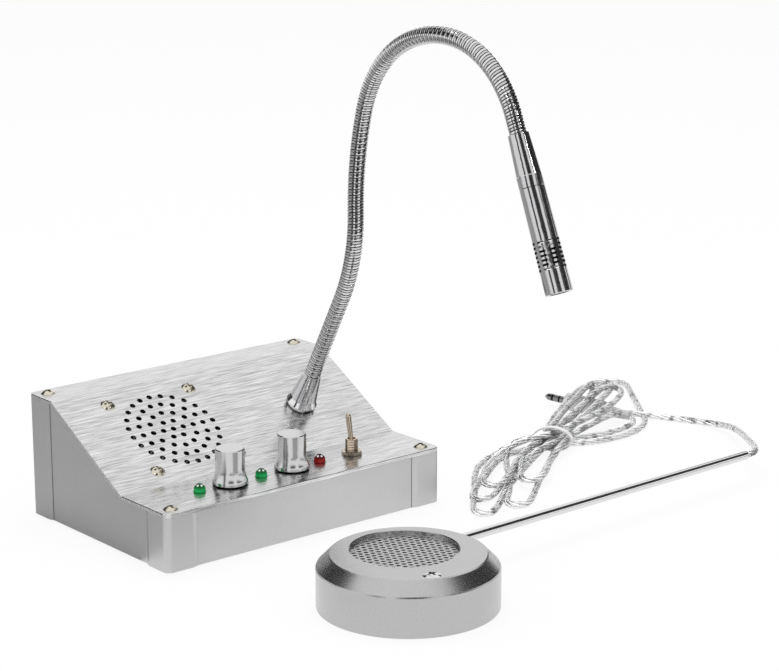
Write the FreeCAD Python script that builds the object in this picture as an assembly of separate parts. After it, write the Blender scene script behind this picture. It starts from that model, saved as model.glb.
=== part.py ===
"""Teller window intercom: a sloped desk unit with a gooseneck microphone, and a round outer unit.

Millimetres, +Z up, +X to the right of the clerk's side view, +Y towards the back of the desk unit.
The origin is the centre of the desk unit's underside. The counter lies one foot height below it.
"""
import FreeCAD, Part
import math
import os

from FreeCAD import Placement, Rotation, Vector

# ---------------------------------------------------------------- driving dimensions, desk unit
BASE_W = 145.0            # over the corner posts, left to right
BASE_D = 102.5            # over the corner posts, front to back
FRONT_POST_H = 23.3
REAR_POST_H = 52.2
PLATE_T = 1.6             # bent top plate
PLATE_EDGE = 0.25         # broken edge round the plate's outer face
LEDGE_D = 32.2            # front edge to the first bend
REAR_FLAT_D = 18.3        # second bend to the back edge
BEND_R = 1.6              # outer radius of both bends
POST_FACE = 13.0          # flat width of a post's outer face
POST_R = 3.1              # rounded outer corner of a post
POST_CHAMFER_W = 2.4
POST_CHAMFER_D = 0.8
POST_CORE = 11.0          # solid square core of a post
POST_LIP = 1.5            # inner lip that closes a panel slot
PANEL_INSET = 1.0         # panel faces lie this far inside the post faces
PANEL_T = 2.0
SLOT_CLEAR = 0.05         # play on each side of a panel in its slot
SLOT_END_CLEAR = 0.3
FLOOR_T = 2.0             # base plate
FLOOR_CLEAR = 0.1
FOOT_H = 1.0
FOOT_R = 5.0
FOOT_INSET_X = 16.0
FOOT_INSET_Y = 15.0

# ---------------------------------------------------------------- screws
M3_R = 1.5
M3_CLEAR = 0.1
M3_CORE_R = 1.55          # threaded hole, at the thread's outer radius plus running play
M3_HEAD_R = 3.15
M3_HEAD_H = 1.5
M3_NUT_AF = 5.5
M3_NUT_H = 2.4
M3_CSK_R = 2.9
M3_CSK_H = 1.5
M4_R = 2.0
M4_HEAD_R = 3.7
M4_HEAD_H = 0.9
CORNER_SCREW_INSET_X = 6.2
CORNER_SCREW_INSET_Y = 5.9
CORNER_SCREW_L = 12.0
FLOOR_SCREW_INSET = 8.2
FLOOR_SCREW_L = 9.0
CROSS_W = 1.15            # cross recess
CROSS_L = 4.0
CROSS_DEPTH = 0.8

# ---------------------------------------------------------------- control row on the ledge
CONTROL_Y = 16.8          # from the front edge
LED_X = (-44.1, -12.4, 18.8)
KNOB_X = (-28.5, 3.9)
TOGGLE_X = 36.4
LED_R = 2.5
LED_PROUD = 3.6           # above the ledge
LED_BODY_H = 8.6
LED_FLANGE_R = 2.9
LED_FLANGE_H = 1.0
LED_LEG = 0.5
LED_LEG_PITCH = 2.54
LED_CLEAR = 0.1
KNOB_R = 7.5
KNOB_GRIP_R = 6.2
KNOB_SKIRT_H = 1.6
KNOB_FLARE_TOP = 7.2      # height where the flare meets the grip
KNOB_FLARE_DEPTH = 0.35   # hollow of the flare under a straight cone
KNOB_H = 15.4
KNOB_GAP = 0.4
KNOB_RECESS_R = 6.4
KNOB_RECESS_H = 3.4
KNOB_EDGE = 0.35
SHAFT_R = 3.0
SHAFT_FLAT = 2.2          # flat side of the shaft from its axis, inside the knob
SHAFT_FIT = 0.05
SHAFT_TOP_WALL = 2.4      # knob metal above the shaft
POT_R = 8.2
POT_H = 8.4
POT_BUSH_R = 3.6
POT_BUSH_H = 4.3          # above the ledge's underside
POT_NUT_AF = 9.0
POT_NUT_H = 1.8
POT_LUG = (1.2, 5.5, 0.8)
POT_LUG_PITCH = 5.0
TOGGLE_BODY = (7.9, 13.0, 9.4)
TOGGLE_BUSH_R = 2.75
TOGGLE_BUSH_H = 7.2       # above the ledge
TOGGLE_NUT_AF = 8.1
TOGGLE_NUT_H = 1.8
TOGGLE_BORE_R = 1.9
TOGGLE_PIVOT_DROP = 3.0   # pivot below the top of the bushing
TOGGLE_BALL_R = 1.75
TOGGLE_LEAN = 10.0        # degrees from upright, towards the back
LEVER_ROOT_R = 1.05
LEVER_TIP_R = 1.3
LEVER_L = 13.7            # pivot to tip
LUG_SIZE = (0.8, 2.0, 4.0)
LUG_PITCH = 4.7

# ---------------------------------------------------------------- speaker under the slope
SPEAKER_X = -28.1
SPEAKER_PITCH = 42.0      # screw to screw
SPEAKER_FLANGE = 50.0
SPEAKER_FLANGE_T = 1.2
SPEAKER_FLANGE_R = 5.0
SPEAKER_MOUTH_R = 21.5
SPEAKER_BASKET_H = 11.0
SPEAKER_BASKET_WALL = 1.0
SPEAKER_THROAT_R = 11.0
SPEAKER_MAGNET_R = 12.5
SPEAKER_MAGNET_H = 7.0
CONE_T = 0.6
CONE_GAP = 0.4
CONE_RIM_GAP = 1.6
CONE_COIL_REACH = 1.5     # of the voice coil into the magnet
CONE_COIL_R = 6.0
GRILLE_HOLE_R = 1.3
GRILLE_PITCH = 5.13       # ring to ring
GRILLE_RINGS = 4

# ---------------------------------------------------------------- collar and gooseneck
COLLAR_X = 38.8
COLLAR_UP = 27.2          # up the slope from the first bend
COLLAR_FOOT_R = 6.1
COLLAR_BULGE_R = 6.85
COLLAR_BULGE_H = 2.2
COLLAR_NECK_R = 5.55
COLLAR_NECK_H = 4.6
COLLAR_CONE_R = 5.95
COLLAR_CONE_H = 5.4
COLLAR_LIP_R = 3.95
COLLAR_H = 18.7
COLLAR_STEM_R = 4.8
COLLAR_STEM_L = 7.0       # below the slope's outer face
COLLAR_NUT_AF = 14.0
COLLAR_NUT_H = 3.0
NECK_R = 3.6
NECK_FIT = 0.05
NECK_SEAT = 3.0           # root of the neck above the slope's outer face, inside the collar
# length and turn in degrees of each arc of the neck, from the slope to the microphone
NECK_ARCS = ((61.5, 0.0), (41.5, 29.5), (45.0, -16.5), (45.5, -53.0), (28.0, -28.5), (46.0, -60.0),
             (7.0, 0.0))
NECK_STUB_R = 1.7
NECK_BALL_R = 2.5
NECK_SOCKET_R = 2.6
NECK_TUBE_END = 2.8       # a link's tube stops this far short of the joint centre
NECK_NEXT_START = 1.0     # and the next link starts this far before it
NECK_JOINTS = 5
NECK_ROOT_SHOW = 1.2      # neck between the collar's lip and the first joint gap
MIC_TOP_R = 4.25
MIC_SHOULDER_R = 5.05
MIC_SHOULDER_H = 16.5
MIC_SLEEVE_H = 21.5
MIC_SLEEVE_R = 5.15
MIC_END_R = 5.6
MIC_H = 63.8
MIC_SEAM = 0.3
MIC_EDGE = 0.3
MIC_WALL = 1.2
MIC_PLUG = 5.0            # reach of the neck into the sleeve
MIC_SLOT_ROWS = 7
MIC_SLOT_COLUMNS = 8
MIC_SLOT_START = 42.6     # first row, from the top of the microphone
MIC_SLOT_PITCH = 1.78
MIC_SLOT = (2.7, 0.9)     # around, along
MIC_CAPSULE_H = 7.0
MIC_CAPSULE_START = 45.0
MIC_CAPSULE_PLAY = 0.1
MIC_GRILLE_T = 0.8
MIC_GRILLE_RECESS = 1.0
MIC_GRILLE_HOLE_R = 0.5
MIC_SPIGOT_L = 4.0

# ---------------------------------------------------------------- inside the desk unit
BOARD_SIZE = (112.0, 70.0, 1.6)
BOARD_Y = -8.0
STANDOFF_H = 6.0
STANDOFF_AF = 5.5
STANDOFF_SPIGOT_R = 2.2   # pressed into the base plate
STANDOFF_FIT = 0.02
STANDOFF_INSET = 5.0
CAPACITORS = ((10.0, 2.0, 5.0, 12.0), (24.0, 2.0, 5.0, 12.0), (8.0, -14.0, 4.0, 9.0))
AMP_CHIP = (20.0, 4.5, 14.0)
AMP_CHIP_AT = (22.0, 20.0)

# ---------------------------------------------------------------- sockets in the rear panel
SOCKET_Z = 18.0
POWER_X = -34.0
AUDIO_X = -10.0
POWER_FLANGE_R = 7.0
POWER_FLANGE_T = 1.5
POWER_BARREL_R = 5.5
POWER_BARREL_L = 14.0
POWER_BORE_R = 3.2
POWER_BORE_L = 10.0
POWER_PIN_R = 1.0
POWER_NUT_R = 7.0
POWER_NUT_H = 2.5
AUDIO_BARREL_R = 3.0
AUDIO_BARREL_OUT = 4.0
AUDIO_BORE_R = 1.8
AUDIO_BORE_L = 14.5
AUDIO_BODY = (9.0, 14.0, 10.0)
AUDIO_NUT_R = 4.2
AUDIO_NUT_H = 2.0
SOCKET_CLEAR = 0.1

# ---------------------------------------------------------------- outer unit
PUCK_X = -18.9
PUCK_Y = -138.4
PUCK_R = 36.2
PUCK_TOP_R = 31.0
PUCK_WALL_H = 16.65
PUCK_H = 21.85
PUCK_WALL = 3.0
PUCK_TOP_T = 4.4
PUCK_SKIRT_LIFT = 0.3     # shell stands clear of the counter on its pad
PUCK_EDGE = 0.3           # broken edges of the shell
GRILLE_OFFSET = (2.2, 5.0)
RECESS_R = 21.6
RECESS_DEPTH = 1.8        # face of the grille below the top face
PUCK_GRILLE_T = 0.7
PUCK_GRILLE_PLAY = 0.1
PUCK_MOUTH_R = 19.6
PUCK_HOLE_R = 0.7
PUCK_HOLE_PITCH = 2.85
PUCK_HOLE_MARGIN = 0.3
PUCK_SPEAKER_R = 14.5
PUCK_SPEAKER_OFFSET = 4.6 # from the grille's centre, along +X
PUCK_SPEAKER_H = 7.0
PUCK_SPEAKER_MAGNET_R = 9.0
PUCK_SPEAKER_MAGNET_H = 4.2
PUCK_MIC_R = 3.0
PUCK_MIC_H = 5.0
PUCK_MIC_OFFSET = -16.0
FACE_SCREW_OFFSET = (-9.3, -24.9)
FACE_BOSS_R = 4.0
FACE_SCREW_REACH = 6.0    # into the boss
COVER_T = 2.2
COVER_CLEAR = 0.1
PAD_T = 1.2
PAD_R = 31.5
COVER_SCREW_RING = 27.0
COVER_SCREW_ANGLES = (15.0, 135.0)
COVER_BOSS_R = 3.2

# ---------------------------------------------------------------- stem and cord of the outer unit
STEM_R = 2.0
STEM_BORE_R = 1.6
STEM_Z = 14.0             # above the counter
STEM_OFFSET = 14.9        # axis behind the puck's centre
STEM_ANGLE = 0.94         # degrees, from +X towards +Y
STEM_TIP = 213.3          # from the puck's centre along the stem
STEM_ROOT = 17.0
STEM_FIT = 0.05
STEM_BOSS_R = 3.4
STEM_BOSS_START = 18.9
CLIP_R = 3.0
CLIP_START = 17.6
CLIP_T = 1.2
CORD_R = 1.5
CORD_ROUTE = ((201.5, -118.2, 12.9), (210.5, -109.0, 11.6), (227.0, -90.0, 9.0), (242.0, -70.0, 5.2),
              (250.5, -54.0, 1.6), (247.5, -40.0, 0.5), (240.5, -26.5, 0.5), (232.0, -14.0, 0.5))
CORD_IN_STEM = 6.0
CORD_OUT = 3.0             # straight out of the stem's mouth
CORD_ARC_SHARE = 0.45
HANK_X = 164.0
HANK_Y = -26.6
HANK_ANGLE = 29.0
# along, across, half width, half height and clearance below of each section of the hank's outer shape
HANK_SECTIONS = ((-114.0, -1.0, 5.0, 2.2, 0.0), (-96.0, -3.5, 11.5, 3.6, 0.0), (-66.0, 2.0, 16.0, 4.6, 0.0),
                 (-32.0, 5.5, 15.5, 5.0, 0.0), (-3.0, 0.0, 9.0, 5.2, 0.6), (3.0, 0.0, 9.0, 5.2, 0.6),
                 (26.0, -11.5, 16.0, 5.0, 0.0), (55.0, -11.0, 20.0, 4.8, 0.0), (88.0, -4.5, 13.0, 4.0, 0.0),
                 (114.0, 1.0, 5.0, 2.2, 0.0))
TIE_W = 3.0
TIE_T = 0.6
PLUG_ROOT = (216.4, 18.0, 3.4)
PLUG_DIRECTION = (-0.13, 0.99, 0.0)
PLUG_PIN_R = 1.75
PLUG_PIN_L = 14.0
PLUG_RING = 0.6
PLUG_RING_DEPTH = 0.4
PLUG_BODY_R = 4.3
PLUG_BODY_L = 22.0
PLUG_RELIEF_L = 16.0
PLUG_RELIEF_R = 2.0
PLUG_NECK_R = 2.9

# ---------------------------------------------------------------- values worked out from the above
FRONT = -BASE_D / 2
BACK = BASE_D / 2
LEDGE_Z = FRONT_POST_H + PLATE_T
REAR_Z = REAR_POST_H + PLATE_T
BEND_Y = FRONT + LEDGE_D
TOP_BEND_Y = BACK - REAR_FLAT_D
SLOPE = math.degrees(math.atan2(REAR_Z - LEDGE_Z, TOP_BEND_Y - BEND_Y))
SLOPE_L = math.hypot(REAR_Z - LEDGE_Z, TOP_BEND_Y - BEND_Y)
ROW_Y = FRONT + CONTROL_Y
COUNTER_Z = -FOOT_H
PANEL_IN = PANEL_INSET + PANEL_T
BOARD_Z = FLOOR_T + STANDOFF_H
BOARD_TOP = BOARD_Z + BOARD_SIZE[2]
UNDER_SHIFT = PLATE_T * math.tan(math.radians(SLOPE / 2))
UP = Vector(0, 0, 1)
EPS = 0.01


# ---------------------------------------------------------------- small helpers
def cylinder(r, h, x=0.0, y=0.0, z=0.0):
    return Part.makeCylinder(r, h, Vector(x, y, z))


def box(size, centre_x, centre_y, z):
    corner = Vector(centre_x - size[0] / 2, centre_y - size[1] / 2, z)
    return Part.makeBox(size[0], size[1], size[2], corner)


def hexagon(af, h, x=0.0, y=0.0, z=0.0):
    r = af / math.sqrt(3)
    angles = [math.radians(a) for a in range(0, 361, 60)]
    points = [Vector(x + r * math.cos(a), y + r * math.sin(a), z) for a in angles]
    return Part.Face(Part.makePolygon(points)).extrude(Vector(0, 0, h))


def turned(profile):
    """Solid of revolution about Z from (radius, height) corners."""
    points = [Vector(r, 0, h) for r, h in profile]
    points.append(points[0])
    return Part.Face(Part.makePolygon(points)).revolve(Vector(0, 0, 0), UP, 360)


def prism_x(outline, x0, x1):
    """Solid between x0 and x1 from an outline of (y, z) corners."""
    points = [Vector(x0, y, z) for y, z in outline]
    points.append(points[0])
    return Part.Face(Part.makePolygon(points)).extrude(Vector(x1 - x0, 0, 0))


def cut(shape, tools):
    return shape.cut(Part.makeCompound(tools))


def joined(shapes):
    return shapes[0].fuse(shapes[1:]).removeSplitter()


def edges_along(shape, direction, test):
    found = []
    for edge in shape.Edges:
        if edge.Curve.TypeId != "Part::GeomLine":
            continue
        run = edge.Vertexes[1].Point - edge.Vertexes[0].Point
        if run.cross(direction).Length < EPS * run.Length and test(edge.CenterOfMass):
            found.append(edge)
    return found


def carried(shape, placement):
    """Copy of a shape moved by a placement, on top of any move it has already had."""
    moved = shape.copy()
    moved.Placement = placement.multiply(moved.Placement)
    return moved


def shifted(shape, x, y, z):
    return carried(shape, Placement(Vector(x, y, z), Rotation()))


def placed(shape, point, direction):
    """Move a shape made about +Z so that its origin is at the point and +Z along the direction."""
    return carried(shape, Placement(Vector(*point), Rotation(UP, Vector(*direction))))


def on_slope(shape):
    """Map (x, up the slope, outwards) to the desk unit, from the first bend's outer line."""
    return carried(shape, Placement(Vector(0, BEND_Y, LEDGE_Z), Rotation(Vector(1, 0, 0), SLOPE)))


def at_puck(shape):
    return shifted(shape, PUCK_X, PUCK_Y, COUNTER_Z)


def cross_recess(top):
    bar = box((CROSS_L, CROSS_W, CROSS_DEPTH + EPS), 0, 0, top - CROSS_DEPTH)
    bar_across = box((CROSS_W, CROSS_L, CROSS_DEPTH + EPS), 0, 0, top - CROSS_DEPTH)
    return bar.fuse(bar_across)


def pan_screw(shank_r, length, head_r, head_h):
    """Shallow domed cross-head screw with its seat at z = 0 and the shank downwards."""
    sphere_r = (head_r ** 2 + head_h ** 2) / (2 * head_h)
    dome = Part.makeSphere(sphere_r, Vector(0, 0, head_h - sphere_r))
    head = cylinder(head_r, head_h).common(dome)
    whole = joined([head, cylinder(shank_r, length, z=-length)])
    return whole.cut(cross_recess(head_h))


def nut(af, h, bore_r):
    return hexagon(af, h).cut(cylinder(bore_r, h))


def corner_points(inset_x, inset_y):
    return [(sx * (BASE_W / 2 - inset_x), sy * (BASE_D / 2 - inset_y)) for sx in (-1, 1) for sy in (-1, 1)]


def top_at(y):
    """Height of the posts' tops under the plate at this side of the unit."""
    return FRONT_POST_H if y < 0 else REAR_POST_H


# ---------------------------------------------------------------- housing
def plate_top_line():
    return [(FRONT, LEDGE_Z), (BEND_Y, LEDGE_Z), (TOP_BEND_Y, REAR_Z), (BACK, REAR_Z)]


def plate_under_line():
    return [(FRONT, FRONT_POST_H), (BEND_Y + UNDER_SHIFT, FRONT_POST_H),
            (TOP_BEND_Y + UNDER_SHIFT, REAR_POST_H), (BACK, REAR_POST_H)]


def grille_points():
    """Hole centres of the speaker grille in rings about (0, 0)."""
    points = [(0.0, 0.0)]
    for ring in range(1, GRILLE_RINGS + 1):
        count = 6 * ring
        for k in range(count):
            angle = 2 * math.pi * k / count
            points.append((ring * GRILLE_PITCH * math.cos(angle), ring * GRILLE_PITCH * math.sin(angle)))
    return points


def speaker_screw_points():
    half = SPEAKER_PITCH / 2
    return [(SPEAKER_X + sx * half, SLOPE_L / 2 + sy * half) for sx in (-1, 1) for sy in (-1, 1)]


def through_plate(r, x, y):
    """Tool that cuts the plate at a place given in a face's own plane, from its outer side."""
    return cylinder(r, 3 * PLATE_T, x, y, -2 * PLATE_T)


def outer_rim(plate):
    """Edges round the plate's outer face, which lies above its underside all the way."""
    line = plate_top_line()
    found = []
    for edge in plate.Edges:
        c = edge.valueAt((edge.FirstParameter + edge.LastParameter) / 2)
        on_side = BASE_W / 2 - abs(c.x) < POST_R and edge.Length > EPS
        on_end = BACK - abs(c.y) < POST_R
        level = c.z - height_on(line, c.y)
        if (on_side or on_end) and abs(level) < BEND_R / 2 and not upright(edge):
            found.append(edge)
    return found


def height_on(line, y):
    """Height of a line of (y, z) corners at y."""
    for (y0, z0), (y1, z1) in zip(line[:-1], line[1:]):
        if y <= y1 + EPS:
            return z0 + (z1 - z0) * (y - y0) / (y1 - y0)
    return line[-1][1]


def upright(edge):
    start, end = edge.valueAt(edge.FirstParameter), edge.valueAt(edge.LastParameter)
    return abs(start.z - end.z) > EPS and math.hypot(start.x - end.x, start.y - end.y) < EPS


def top_plate():
    outline = plate_top_line() + plate_under_line()[::-1]
    plate = prism_x(outline, -BASE_W / 2, BASE_W / 2)
    x_way = Vector(1, 0, 0)
    bends = edges_along(plate, x_way, lambda c: abs(c.y - TOP_BEND_Y) < EPS and abs(c.z - REAR_Z) < EPS)
    bends += edges_along(plate, x_way, lambda c: abs(c.y - BEND_Y - UNDER_SHIFT) < EPS
                         and abs(c.z - FRONT_POST_H) < EPS)
    plate = plate.makeFillet(BEND_R, bends)
    corners = edges_along(plate, UP, lambda c: BASE_W / 2 - abs(c.x) < EPS and BACK - abs(c.y) < EPS)
    plate = plate.makeFillet(POST_R, corners)
    plate = plate.makeChamfer(PLATE_EDGE, outer_rim(plate))
    flat = [cylinder(M3_R + M3_CLEAR, 3 * PLATE_T, x, y, top_at(y) - PLATE_T)
            for x, y in corner_points(CORNER_SCREW_INSET_X, CORNER_SCREW_INSET_Y)]
    flat += [cylinder(LED_R + LED_CLEAR, 3 * PLATE_T, x, ROW_Y, FRONT_POST_H - PLATE_T) for x in LED_X]
    flat += [cylinder(POT_BUSH_R + M3_CLEAR, 3 * PLATE_T, x, ROW_Y, FRONT_POST_H - PLATE_T) for x in KNOB_X]
    flat.append(cylinder(TOGGLE_BUSH_R + M3_CLEAR, 3 * PLATE_T, TOGGLE_X, ROW_Y, FRONT_POST_H - PLATE_T))
    sloped = [through_plate(GRILLE_HOLE_R, SPEAKER_X + x, SLOPE_L / 2 + y) for x, y in grille_points()]
    sloped += [through_plate(M3_R + M3_CLEAR, x, y) for x, y in speaker_screw_points()]
    sloped.append(through_plate(COLLAR_STEM_R + M3_CLEAR, COLLAR_X, COLLAR_UP))
    return cut(plate, flat + [on_slope(tool) for tool in sloped])


def post_profile():
    """Plan of the corner post at the left front, with the outer corner at (0, 0)."""
    reach = POST_FACE + POST_CHAMFER_W
    slot_in = PANEL_IN + SLOT_CLEAR
    slot_out = PANEL_INSET - SLOT_CLEAR
    lip_in = slot_in + POST_LIP
    arm = [(POST_FACE, 0.0), (reach, POST_CHAMFER_D), (reach, slot_out), (POST_CORE, slot_out),
           (POST_CORE, slot_in), (reach, slot_in), (reach, lip_in), (POST_CORE, lip_in)]
    return [(0.0, 0.0)] + arm + [(POST_CORE, POST_CORE)] + [(y, x) for x, y in arm[::-1]]


def under_plate(shape):
    """What is left of a shape under the top plate."""
    under = plate_under_line()
    high = 2 * REAR_POST_H
    room = [(2 * FRONT, FRONT_POST_H), under[1], under[2], (2 * BACK, REAR_POST_H)]
    room += [(2 * BACK, high), (2 * FRONT, high)]
    return shape.cut(prism_x(room, -BASE_W, BASE_W))


def corner_post(sx, sy):
    """One extruded corner post; sx and sy are -1 or 1 for its corner."""
    height = top_at(sy)
    points = [Vector(x, y, 0) for x, y in post_profile()]
    points.append(points[0])
    post = Part.Face(Part.makePolygon(points)).extrude(Vector(0, 0, height))
    post = post.makeFillet(POST_R, edges_along(post, UP, lambda c: abs(c.x) < EPS and abs(c.y) < EPS))
    rebate = Part.makeBox(BASE_W, BASE_D, FLOOR_T, Vector(PANEL_IN, PANEL_IN, 0))
    screw_top = height - CORNER_SCREW_L
    drill_top = cylinder(M3_CORE_R, CORNER_SCREW_L, CORNER_SCREW_INSET_X, CORNER_SCREW_INSET_Y, screw_top)
    drill_floor = cylinder(M3_CORE_R, FLOOR_SCREW_L + FLOOR_T, FLOOR_SCREW_INSET, FLOOR_SCREW_INSET, 0)
    post = cut(post, [rebate, drill_top, drill_floor])
    if sx > 0:
        post = post.mirror(Vector(0, 0, 0), Vector(1, 0, 0))
    if sy > 0:
        post = post.mirror(Vector(0, 0, 0), Vector(0, 1, 0))
    return under_plate(shifted(post, sx * BASE_W / 2, sy * BASE_D / 2, 0))


def posts(sy):
    return Part.makeCompound([corner_post(sx, sy) for sx in (-1, 1)])


def panel_length(over):
    return over - 2 * (POST_CORE + SLOT_END_CLEAR)


def front_panel():
    return box((panel_length(BASE_W), PANEL_T, FRONT_POST_H), 0, FRONT + PANEL_INSET + PANEL_T / 2, 0)


def rear_panel():
    panel = box((panel_length(BASE_W), PANEL_T, REAR_POST_H), 0, BACK - PANEL_INSET - PANEL_T / 2, 0)
    power_hole = at_rear(cylinder(POWER_BARREL_R + SOCKET_CLEAR, 3 * PANEL_T, z=-2 * PANEL_T), POWER_X)
    audio_hole = at_rear(cylinder(AUDIO_BARREL_R + SOCKET_CLEAR, 3 * PANEL_T, z=-2 * PANEL_T), AUDIO_X)
    return cut(panel, [power_hole, audio_hole])


def side_panels():
    middle = BASE_W / 2 - PANEL_INSET - PANEL_T / 2
    size = (PANEL_T, panel_length(BASE_D), REAR_POST_H)
    return Part.makeCompound([under_plate(box(size, sx * middle, 0, 0)) for sx in (-1, 1)])


def floor_screw_points():
    return corner_points(FLOOR_SCREW_INSET, FLOOR_SCREW_INSET)


def standoff_points():
    half_x = BOARD_SIZE[0] / 2 - STANDOFF_INSET
    half_y = BOARD_SIZE[1] / 2 - STANDOFF_INSET
    return [(sx * half_x, BOARD_Y + sy * half_y) for sx in (-1, 1) for sy in (-1, 1)]


def countersink(r, h):
    return Part.makeCone(r, M3_R, h, Vector(0, 0, 0))


def base_plate():
    inset = PANEL_IN + FLOOR_CLEAR
    plate = box((BASE_W - 2 * inset, BASE_D - 2 * inset, FLOOR_T), 0, 0, 0)
    tools = [cylinder(STANDOFF_SPIGOT_R + STANDOFF_FIT, FLOOR_T, x, y, 0) for x, y in standoff_points()]
    for x, y in floor_screw_points():
        seat = shifted(countersink(M3_CSK_R + M3_CLEAR, M3_CSK_H + M3_CLEAR), x, y, 0)
        tools += [cylinder(M3_R + M3_CLEAR, FLOOR_T, x, y, 0), seat]
    return cut(plate, tools)


def floor_screw(length):
    """Countersunk screw with its face at z = 0 and its tip upwards."""
    whole = joined([countersink(M3_CSK_R, M3_CSK_H), cylinder(M3_R, length)])
    slot = cross_recess(CROSS_DEPTH - EPS)
    return whole.cut(slot)


def group(shape, points, z=0.0):
    return Part.makeCompound([shifted(shape, x, y, z) for x, y in points])


def base_plate_screws():
    return group(floor_screw(FLOOR_SCREW_L), floor_screw_points())


def top_plate_screws():
    screw = pan_screw(M3_R, CORNER_SCREW_L - PLATE_T, M3_HEAD_R, M3_HEAD_H)
    places = corner_points(CORNER_SCREW_INSET_X, CORNER_SCREW_INSET_Y)
    return Part.makeCompound([shifted(screw, x, y, top_at(y) + PLATE_T) for x, y in places])


def rubber_feet():
    foot = cylinder(FOOT_R, FOOT_H, z=-FOOT_H)
    return group(foot, corner_points(FOOT_INSET_X, FOOT_INSET_Y))


# ---------------------------------------------------------------- speaker
def at_speaker(shape):
    return on_slope(shifted(shape, SPEAKER_X, SLOPE_L / 2, -PLATE_T))


def speaker_frame():
    flange = box((SPEAKER_FLANGE, SPEAKER_FLANGE, SPEAKER_FLANGE_T), 0, 0, -SPEAKER_FLANGE_T)
    flange = flange.makeFillet(SPEAKER_FLANGE_R, edges_along(flange, UP, lambda c: True))
    wall = SPEAKER_BASKET_WALL
    basket = turned([(SPEAKER_MOUTH_R, -SPEAKER_FLANGE_T), (SPEAKER_MOUTH_R + wall, -SPEAKER_FLANGE_T),
                     (SPEAKER_THROAT_R + wall, -SPEAKER_BASKET_H), (CONE_COIL_R + wall, -SPEAKER_BASKET_H),
                     (CONE_COIL_R + wall, -SPEAKER_BASKET_H + wall),
                     (SPEAKER_THROAT_R, -SPEAKER_BASKET_H + wall)])
    holes = [cylinder(SPEAKER_MOUTH_R, SPEAKER_FLANGE_T, z=-SPEAKER_FLANGE_T)]
    half = SPEAKER_PITCH / 2
    holes += [cylinder(M3_R + M3_CLEAR, SPEAKER_FLANGE_T, sx * half, sy * half, -SPEAKER_FLANGE_T)
              for sx in (-1, 1) for sy in (-1, 1)]
    return at_speaker(joined([cut(flange, holes), basket]))


def speaker_cone():
    top_r = SPEAKER_MOUTH_R - CONE_RIM_GAP
    top_z = -SPEAKER_FLANGE_T - CONE_GAP
    low_z = -SPEAKER_BASKET_H + SPEAKER_BASKET_WALL + 2 * CONE_GAP
    low_r = CONE_COIL_R
    body = turned([(top_r, top_z), (low_r, low_z + CONE_T), (0.0, low_z + CONE_T),
                   (0.0, low_z), (low_r, low_z), (top_r, top_z - CONE_T)])
    coil_end = -SPEAKER_BASKET_H - CONE_COIL_REACH
    coil = turned([(low_r, low_z), (low_r - CONE_T, low_z), (low_r - CONE_T, coil_end), (low_r, coil_end)])
    return at_speaker(joined([body, coil]))


def speaker_magnet():
    pot = cylinder(SPEAKER_MAGNET_R, SPEAKER_MAGNET_H, z=-SPEAKER_BASKET_H - SPEAKER_MAGNET_H)
    gap_depth = SPEAKER_MAGNET_H / 2
    core = cylinder(CONE_COIL_R - CONE_T - CONE_GAP, gap_depth)
    ring = cylinder(CONE_COIL_R + CONE_GAP, gap_depth).cut(core)
    return at_speaker(pot.cut(shifted(ring, 0, 0, -SPEAKER_BASKET_H - gap_depth)))


def speaker_screws():
    length = PLATE_T + SPEAKER_FLANGE_T + M3_NUT_H + M3_R
    screws = group(pan_screw(M3_R, length, M3_HEAD_R, M3_HEAD_H), speaker_screw_points())
    return on_slope(screws)


def speaker_nuts():
    z = -PLATE_T - SPEAKER_FLANGE_T - M3_NUT_H
    nuts = group(nut(M3_NUT_AF, M3_NUT_H, M3_CORE_R), speaker_screw_points(), z)
    return on_slope(nuts)


# ---------------------------------------------------------------- control row
def lamp(x):
    """Domed lamp with a flange and two legs that reach into the board."""
    top = LEDGE_Z + LED_PROUD
    low = top - LED_BODY_H
    dome = Part.makeSphere(LED_R, Vector(0, 0, top - LED_R))
    barrel = cylinder(LED_R, LED_BODY_H - LED_R, z=low)
    flange = cylinder(LED_FLANGE_R, LED_FLANGE_H, z=low)
    legs = [box((LED_LEG, LED_LEG, low - BOARD_Z + LED_FLANGE_H / 2), s * LED_LEG_PITCH / 2, 0, BOARD_Z)
            for s in (-1, 1)]
    return shifted(joined([barrel, dome, flange] + legs), x, ROW_Y, 0)


def pot_body(x):
    low = FRONT_POST_H - POT_H
    body = cylinder(POT_R, POT_H, z=low)
    bush = cylinder(POT_BUSH_R, POT_BUSH_H, z=FRONT_POST_H)
    lugs = [box((POT_LUG[0], POT_LUG[1], POT_LUG[2]), s * POT_LUG_PITCH, -POT_R, low) for s in (-1, 0, 1)]
    bore = cylinder(SHAFT_R + SHAFT_FIT, POT_H + POT_BUSH_H, z=low + PLATE_T)
    return shifted(joined([body, bush] + lugs).cut(bore), x, ROW_Y, 0)


def pot_shaft(x):
    low = FRONT_POST_H - POT_H + PLATE_T + SHAFT_FIT
    top = LEDGE_Z + KNOB_GAP + KNOB_H - SHAFT_TOP_WALL - SHAFT_FIT
    shaft = cylinder(SHAFT_R, top - low, z=low)
    flat_z = LEDGE_Z + POT_BUSH_H
    flat = box((2 * SHAFT_R, SHAFT_R, top - flat_z), 0, SHAFT_FLAT + SHAFT_R / 2, flat_z)
    return shifted(shaft.cut(flat), x, ROW_Y, 0)


def pot_nut(x):
    return shifted(nut(POT_NUT_AF, POT_NUT_H, POT_BUSH_R + SHAFT_FIT), x, ROW_Y, LEDGE_Z)


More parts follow.
